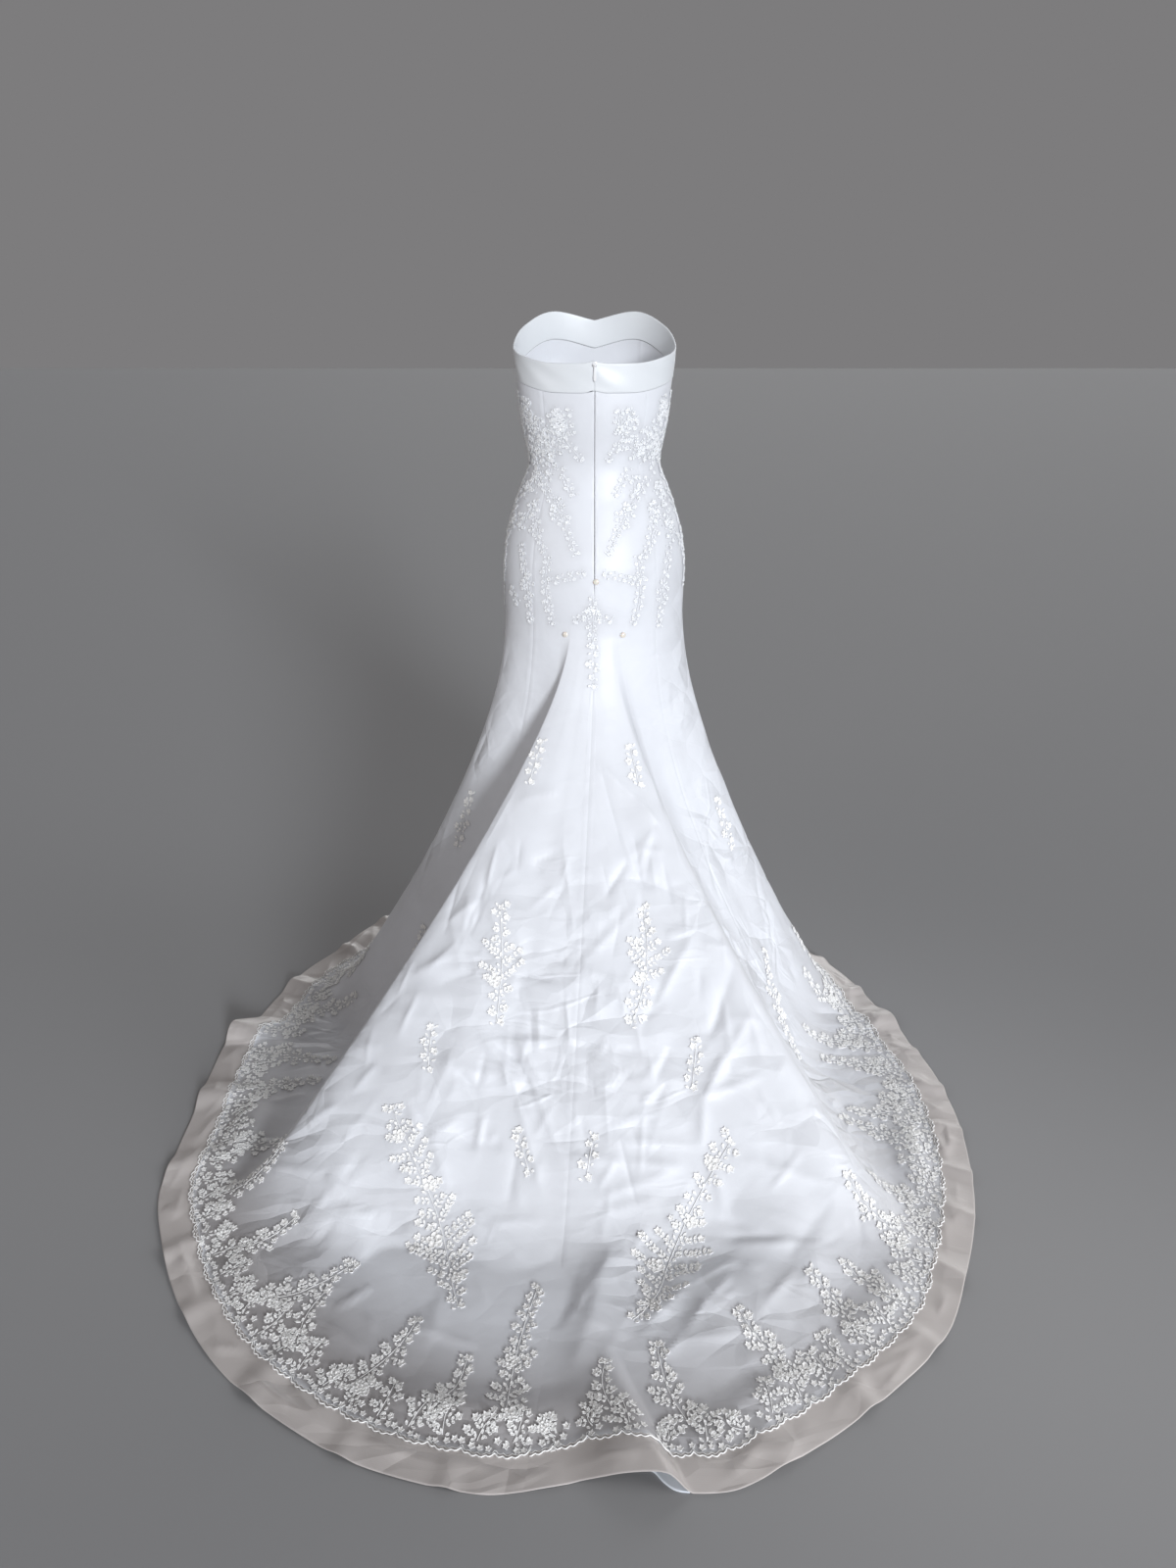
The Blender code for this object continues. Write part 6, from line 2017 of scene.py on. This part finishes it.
# ---- band
@dataclass
class FoldedBand:
    """The band round the top: satin folded over at its upper edge."""

    wardrobe: Wardrobe
    # Piece: place, body azimuths of its ends, columns, flat width.
    pieces: tuple[tuple[str, float, float, int, float], ...] = (
        ("back_left", 0.0, 92.0, 90, 0.19), ("front", 92.0, 268.0, 170, 0.46),
        ("back_right", 268.0, 360.0, 90, 0.19),
    )
    rows: int = 16
    sag_mm: float = 1.1
    # The corner that stands up beside the zip: height, azimuth, width in degrees.
    corner: tuple[float, float, float] = (0.0012, 2.5, 2.0)
    # The body's depth at the band, which turns the gap into degrees.
    depth: float = 0.09

    def build(self) -> None:
        for place, first, last, columns, width in self.pieces:
            piece = self._piece(place, first, last, columns)
            dress(piece, ["band_" + place])

    def _piece(self, place: str, first: float, last: float, columns: int) -> Piece:
        """One piece: the folded sheet's section carried round the body.

        The section starts turned under at the foot, goes up the outer face, over the fold
        in a half circle, and down the inner face. The outer face sinks and swells by soft
        waves, as pressed satin does, and a small corner stands up beside the zip.

        Args:
            place: its name's end.
            first: body azimuth where it starts.
            last: where it ends.
            columns: steps between them.

        Returns:
            The piece.
        """
        inset = math.degrees(0.5 * GAP / self.depth)
        azimuth = np.linspace(first + inset, last - inset, columns + 1)
        radius = 0.5 * BAND_WALL
        down = np.linspace(1.0, 0.0, self.rows + 1)
        turn = np.linspace(0.0, math.pi, 9)[1:-1]
        under = np.linspace(-0.5 * math.pi, 0.0, 5)[:-1]
        foot = BAND_HEIGHT - radius
        drop = np.concatenate((foot - radius * np.sin(under), down * (foot - radius) + radius,
                               radius - radius * np.sin(turn),
                               down[::-1] * (foot - radius) + radius))
        outward = radius * np.concatenate((np.cos(under), np.full(self.rows + 1, 1.0),
                                           np.cos(turn), np.full(self.rows + 1, -1.0)))
        top = top_height(azimuth)
        tall, beside, width = self.corner
        corner = tall * np.exp(-(wrap(azimuth - beside) / width) ** 2)
        height = (top + corner)[:, None] - drop[None, :]
        x, y = ring(azimuth[:, None], height)
        ahead_x, ahead_y = ring(azimuth[:, None] + 0.5, height)
        normal = unit(np.stack((-(ahead_y - y), ahead_x - x, np.zeros_like(x)), axis=2))
        face = np.clip(outward / radius, 0.0, 1.0)[None, :]
        share = (drop / BAND_HEIGHT)[None, :]
        turned = np.radians(azimuth)[:, None]
        waves = np.sin(turned * 5.0 + share * 4.0) + 0.8 * np.sin(turned * 13.0 + 6.0 * share)
        lift = (BAND_LIFT + outward[None, :]
                + 0.5e-3 * self.sag_mm * waves * np.sin(math.pi * share) * face)
        points = np.stack((x, y, height), axis=2) + normal * lift[..., None]
        parts = MeshParts()
        parts.add(points, flip(grid_faces(columns + 1, len(drop))))
        piece = parts.build("folded_band_" + place, (self.wardrobe.get(BAND_SATIN),))
        add_strip_uv(piece)
        return piece


def add_strip_uv(piece: Piece, radius: float = 0.12) -> None:
    """UV in metres: the arc round the waist's axis at a mean radius, and the height.

    Args:
        piece: a strip round the waist's axis.
        radius: its mean radius.
    """
    mesh = piece.data
    points = np.zeros(len(mesh.vertices) * 3, dtype=np.float32)
    mesh.vertices.foreach_get("co", points)
    points = points.reshape(-1, 3)
    loops = np.zeros(len(mesh.loops), dtype=np.int32)
    mesh.loops.foreach_get("vertex_index", loops)
    turn = np.arctan2(points[:, 0], points[:, 1])
    pairs = np.stack((turn * radius, points[:, 2]), axis=1)[loops]
    mesh.uv_layers.new(name="cloth").data.foreach_set("uv", pairs.ravel())


# ---- zip, buttons, lining
@dataclass
class Zip:
    """Concealed zip: nylon coil behind the seam, slider and hanging pull tab."""

    wardrobe: Wardrobe
    top: float = 1.3010
    end: float = 0.910
    coil_depth: float = 0.0022
    tooth_pitch: float = 0.0015
    coil_radius: float = 0.0012
    thread_radius: float = 0.0003
    tape_half: float = 0.0030
    tape_thick: float = 0.0003
    # Metal part: node, how far its edges are rounded, body.
    metal: tuple[tuple[str, float, str], ...] = (
        ("zip_slider", 0.00035, "gown"), ("zip_pull_tab", 0.00022, "zip_pull"),
    )

    def build(self) -> None:
        """Make the coil and tape, the slider and the pull tab."""
        self._coil()
        for part in self.metal:
            self._metal(*part)

    def _line(self, height: Array) -> Array:
        """Points behind the centre back seam at heights above the floor."""
        y = ring(np.zeros_like(height), height)[1] - self.coil_depth
        return np.stack((np.zeros_like(height), y, height), axis=1)

    def _coil(self) -> None:
        """A helix of nylon on a woven tape: one turn for each tooth."""
        parts = MeshParts()
        height = np.linspace(self.top, self.end, 60)
        line = self._line(height)
        side = np.array((self.tape_half, 0.0, 0.0))
        thick = np.array((0.0, self.tape_thick, 0.0))
        tape = np.stack((line - side + thick, line + side + thick, line + side - thick,
                         line - side - thick), axis=1)
        parts.carry(tape)
        turns = int((self.top - self.end) / self.tooth_pitch)
        phase = np.linspace(0.0, 2.0 * math.pi * turns, turns * 8)
        run = self._line(np.linspace(self.top - 0.002, self.end + 0.002, len(phase)))
        outward = np.stack((np.cos(phase), np.sin(phase) * 0.6, np.zeros_like(phase)), axis=1)
        middle = run + outward * self.coil_radius - thick
        up = np.array((0.0, 0.0, self.thread_radius))
        thread = outward * self.thread_radius
        parts.carry(np.stack((middle - thread, middle + up, middle + thread), axis=1), slot=1)
        piece = parts.build("zip_coil_teeth",
                            (self.wardrobe.get(ZIP_TAPE), self.wardrobe.get(ZIP_NYLON)))
        add_strip_uv(piece)
        dress(piece, ["zip_coil"])

    def _metal(self, node: str, rounding: float, body: str) -> None:
        """The slider or its tab: the node's own shape with rounded edges, enamelled.

        Args:
            node: the CAD node.
            rounding: width of its bevels.
            body: the body it moves with.
        """
        piece = rounded_copy(node, node + "_body", rounding)
        piece.data.materials.clear()
        piece.data.materials.append(self.wardrobe.get(ENAMEL))
        dress(piece, [node], body)


def rounded_copy(node: str, name: str, width: float) -> Piece:
    """A merged copy of a node's mesh with bevelled edges.

    Args:
        node: the CAD node.
        name: the copy's name.
        width: width of its bevels.

    Returns:
        The copy.
    """
    mesh = bpy.data.objects[node].data.copy()
    mesh.name = name
    made = put(name, mesh)
    merge = made.modifiers.new("merge", "WELD")
    merge.merge_threshold = 1e-6
    bevel = made.modifiers.new("round", "BEVEL")
    bevel.width = width
    bevel.segments = 2
    bevel.limit_method = "ANGLE"
    bevel.angle_limit = math.radians(35.0)
    mesh.shade_smooth()
    return made


@dataclass
class PearlButtons:
    """Three pearl buttons for the bustle, each turned from one profile."""

    surface: GownSurface
    wardrobe: Wardrobe
    radius: float = 0.0055
    height: float = 0.0045
    # Neck and rim: height, share of the radius. Then the height of the dome's foot.
    neck: tuple[tuple[float, float], ...] = ((0.0003, 0.45), (0.0008, 0.55), (0.0012, 0.93))
    dome_foot: float = 0.0018
    # Button: name, body azimuth, height.
    places: tuple[tuple[str, float, float], ...] = (
        ("center", -1.0, 0.934), ("left", 17.0, 0.834), ("right", -17.0, 0.833),
    )

    def build(self) -> None:
        """Make all three."""
        azimuth = np.array([place[1] for place in self.places])
        height = np.array([place[2] for place in self.places])
        points, normals = self.surface.sample(*self.surface.on_body(azimuth, height))
        for (name, *_), point, normal in zip(self.places, points, normals):
            self._button(name, point, normal)

    def _button(self, name: str, centre: Array, axis: Array) -> None:
        """One button: a short neck, a rim and a dome, turned about the cloth's normal.

        Args:
            name: its node's name.
            centre: the point where it is sewn on.
            axis: unit vector away from the cloth.
        """
        dome = np.linspace(0.0, 0.5 * math.pi, 9)
        rise, radius = np.transpose(self.neck)
        tall = self.height - self.dome_foot
        rise = np.concatenate((rise, self.dome_foot + tall * np.sin(dome)))
        radius = self.radius * np.concatenate((radius, np.cos(dome)))
        radius = np.maximum(radius, 1e-5)
        turn = np.linspace(0.0, 2.0 * math.pi, 33)[:-1]
        side = unit(np.cross(axis, (0.0, 0.0, 1.0)))
        other = np.cross(axis, side)
        around = np.cos(turn)[:, None] * side + np.sin(turn)[:, None] * other
        points = (centre + axis * rise[:, None, None]
                  + around[None] * radius[:, None, None])
        parts = MeshParts()
        parts.carry(points)
        piece = parts.build("pearl_button_" + name, (self.wardrobe.get(PEARL),))
        dress(piece, ["bustle_button_" + name])


@dataclass
class LiningHem:
    """The lining where it shows under the lifted hem."""

    wardrobe: Wardrobe
    # Hem azimuth, outer radius, inner radius.
    edge: tuple[tuple[float, float, float], ...] = (
        (-7.6, 0.9210, 0.912), (-7.0, 0.9190, 0.895), (-6.4, 0.9150, 0.872),
        (-5.6, 0.9030, 0.850), (-4.8, 0.8860, 0.835), (-3.6, 0.8780, 0.830),
        (-2.6, 0.8740, 0.830),
    )
    thick: float = 0.0012
    ripple: float = 0.0006
    rows: int = 41
    across: int = 13

    def build(self) -> None:
        """Make the strip: a closed section carried along the hem, softly rippled."""
        azimuth = np.linspace(self.edge[0][0], self.edge[-1][0], self.rows)
        outer = smooth_curve(self.edge, 1, azimuth)
        inner = smooth_curve(self.edge, 2, azimuth)
        share = np.linspace(0.0, 1.0, self.across)
        share = np.concatenate((share, np.linspace(1.0, 0.0, self.across)))
        up = np.repeat((0.0, self.thick), self.across)
        radius = inner[:, None] + (outer - inner)[:, None] * share[None, :]
        x, y = floor_point(azimuth[:, None], radius)
        waves = np.sin(np.radians(azimuth)[:, None] * 160.0 + share[None, :] * 3.0)
        rise = self.ripple * (1.0 + waves) * (up > 0.0)[None, :]
        points = np.stack((x, y, up[None, :] + rise), axis=2)
        parts = MeshParts()
        parts.carry(points)
        piece = parts.build("lining_hem_strip", (self.wardrobe.get(LINING),))
        add_strip_uv(piece)
        dress(piece, ["lining_hem"])


# ---- studio
@dataclass
class Studio:
    """Pale floor, soft lights and the camera behind the gown."""

    camera_place: tuple[float, float, float] = (0.0117, 2.30, 1.50)
    tilt: float = 24.0
    focal_mm: float = 28.125
    sensor_mm: float = 36.0
    floor_color: str = "#969697"
    wall_color: str = "#7D7C7D"
    floor_half: float = 14.0
    lamp_away: float = 4.0
    # Lamp: name, azimuth and elevation it shines from, strength, softness in degrees,
    # colour. Azimuth 0 is behind the gown, positive to the wearer's left.
    lamps: tuple[tuple, ...] = (
        ("key", -20.0, 12.0, 2.80, 14.0, "#F6FAFF"),
        ("right", -78.0, 20.0, 0.45, 30.0, "#F8FAFF"),
        ("side", 60.0, 16.0, 0.18, 40.0, "#FFF0E6"),
        ("front", 196.0, 6.0, 1.80, 60.0, "#FFFFFF"),
    )
    # Softbox: name, place, target, power in watts, side, spread in degrees.
    boxes: tuple[tuple, ...] = (
        ("hips", (1.55, 1.45, 1.25), (0.06, 0.16, 0.92), 0.4, 0.6, 44.0),
        ("train", (-1.75, 1.30, 0.95), (-0.30, 0.88, 0.05), 2.2, 1.2, 66.0),
    )

    def build(self) -> None:
        """Make the stage, lights, world and camera."""
        self._floor()
        self._world()
        for lamp in self.lamps:
            self._lamp(*lamp)
        for box in self.boxes:
            self._softbox(*box)
        self._camera()

    def _floor(self) -> None:
        """A wide matt floor just under the hem."""
        half = self.floor_half
        corners = np.array(((-half, -half, 0.0), (half, -half, 0.0), (half, half, 0.0),
                            (-half, half, 0.0)))
        parts = MeshParts()
        parts.add(corners, np.array([[0, 1, 2, 3]]))
        finish = Finish("studio_floor", self.floor_color, self.floor_color, 0.85)
        floor = parts.build("studio_floor", (finish.build(),))

    def _world(self) -> None:
        """An even surround that fills the shadows, and a plain tone curve."""
        world = bpy.data.worlds.new("studio")
        world.use_nodes = True
        shade = world.node_tree.nodes["Background"]
        shade.inputs["Color"].default_value = linear(self.wall_color)
        shade.inputs["Strength"].default_value = 1.0
        scene = bpy.context.scene
        scene.world = world
        scene.view_settings.view_transform = "Standard"

    def _lamp(self, name: str, azimuth: float, elevation: float, strength: float,
              softness: float, color: str) -> None:
        """A distant soft lamp that shines from an azimuth and an elevation.

        Args:
            name: the lamp's name.
            azimuth: degrees, from the back to the left.
            elevation: degrees above the floor.
            strength: its irradiance.
            softness: its angular size in degrees.
            color: sRGB hex value.
        """
        data = bpy.data.lights.new("lamp_" + name, "SUN")
        data.energy = strength
        data.angle = math.radians(softness)
        data.color = linear(color)[:3]
        lamp = put("lamp_" + name, data)
        turn, rise = math.radians(azimuth), math.radians(elevation)
        flat = self.lamp_away * math.cos(rise)
        lamp.location = (flat * math.sin(turn), flat * math.cos(turn),
                         self.lamp_away * math.sin(rise))
        lamp.rotation_euler = (0.5 * math.pi - rise, 0.0, math.pi - turn)

    @staticmethod
    def _softbox(name: str, place: Sequence[float], target: Sequence[float], power: float,
                 size: float, spread: float) -> None:
        """A square lamp at a place that shines on a target, both above the floor.

        Args:
            name: the lamp's name.
            place: where it stands.
            target: what it faces.
            power: watts.
            size: its edge.
            spread: degrees.
        """
        data = bpy.data.lights.new("softbox_" + name, "AREA")
        data.shape = "SQUARE"
        data.size = size
        data.energy = power
        data.spread = math.radians(spread)
        lamp = put("softbox_" + name, data)
        start, end = (Vector(to_frame(np.array(spot))) for spot in (place, target))
        lamp.location = start
        lamp.rotation_euler = (end - start).to_track_quat("-Z", "Y").to_euler()

    def _camera(self) -> None:
        """The camera, level to the side and tilted down at the train."""
        data = bpy.data.cameras.new("camera")
        data.lens = self.focal_mm
        data.sensor_width = self.sensor_mm
        camera = put("camera", data)
        camera.location = tuple(to_frame(np.array(self.camera_place)))
        camera.rotation_euler = (math.radians(90.0 - self.tilt), 0.0, math.pi)
        bpy.context.scene.camera = camera


def main() -> None:
    """Build the gown's pieces in the order they are sewn, then the studio."""
    logging.basicConfig(level=logging.INFO, format="%(name)s %(message)s")
    wardrobe = Wardrobe()
    surface = GownSurface()
    panels = Panels(surface, wardrobe)
    cloth = panels.build()
    lace = Lace(surface, wardrobe)
    laid_on = lace.build()
    panels.shade_under(cloth, NetGround(np.concatenate(lace.petals)))
    panels.declare(cloth, laid_on)
    FoldedBand(wardrobe).build()
    LiningHem(wardrobe).build()
    Zip(wardrobe).build()
    PearlButtons(surface, wardrobe).build()
    Studio().build()


if __name__ == "__main__":
    main()
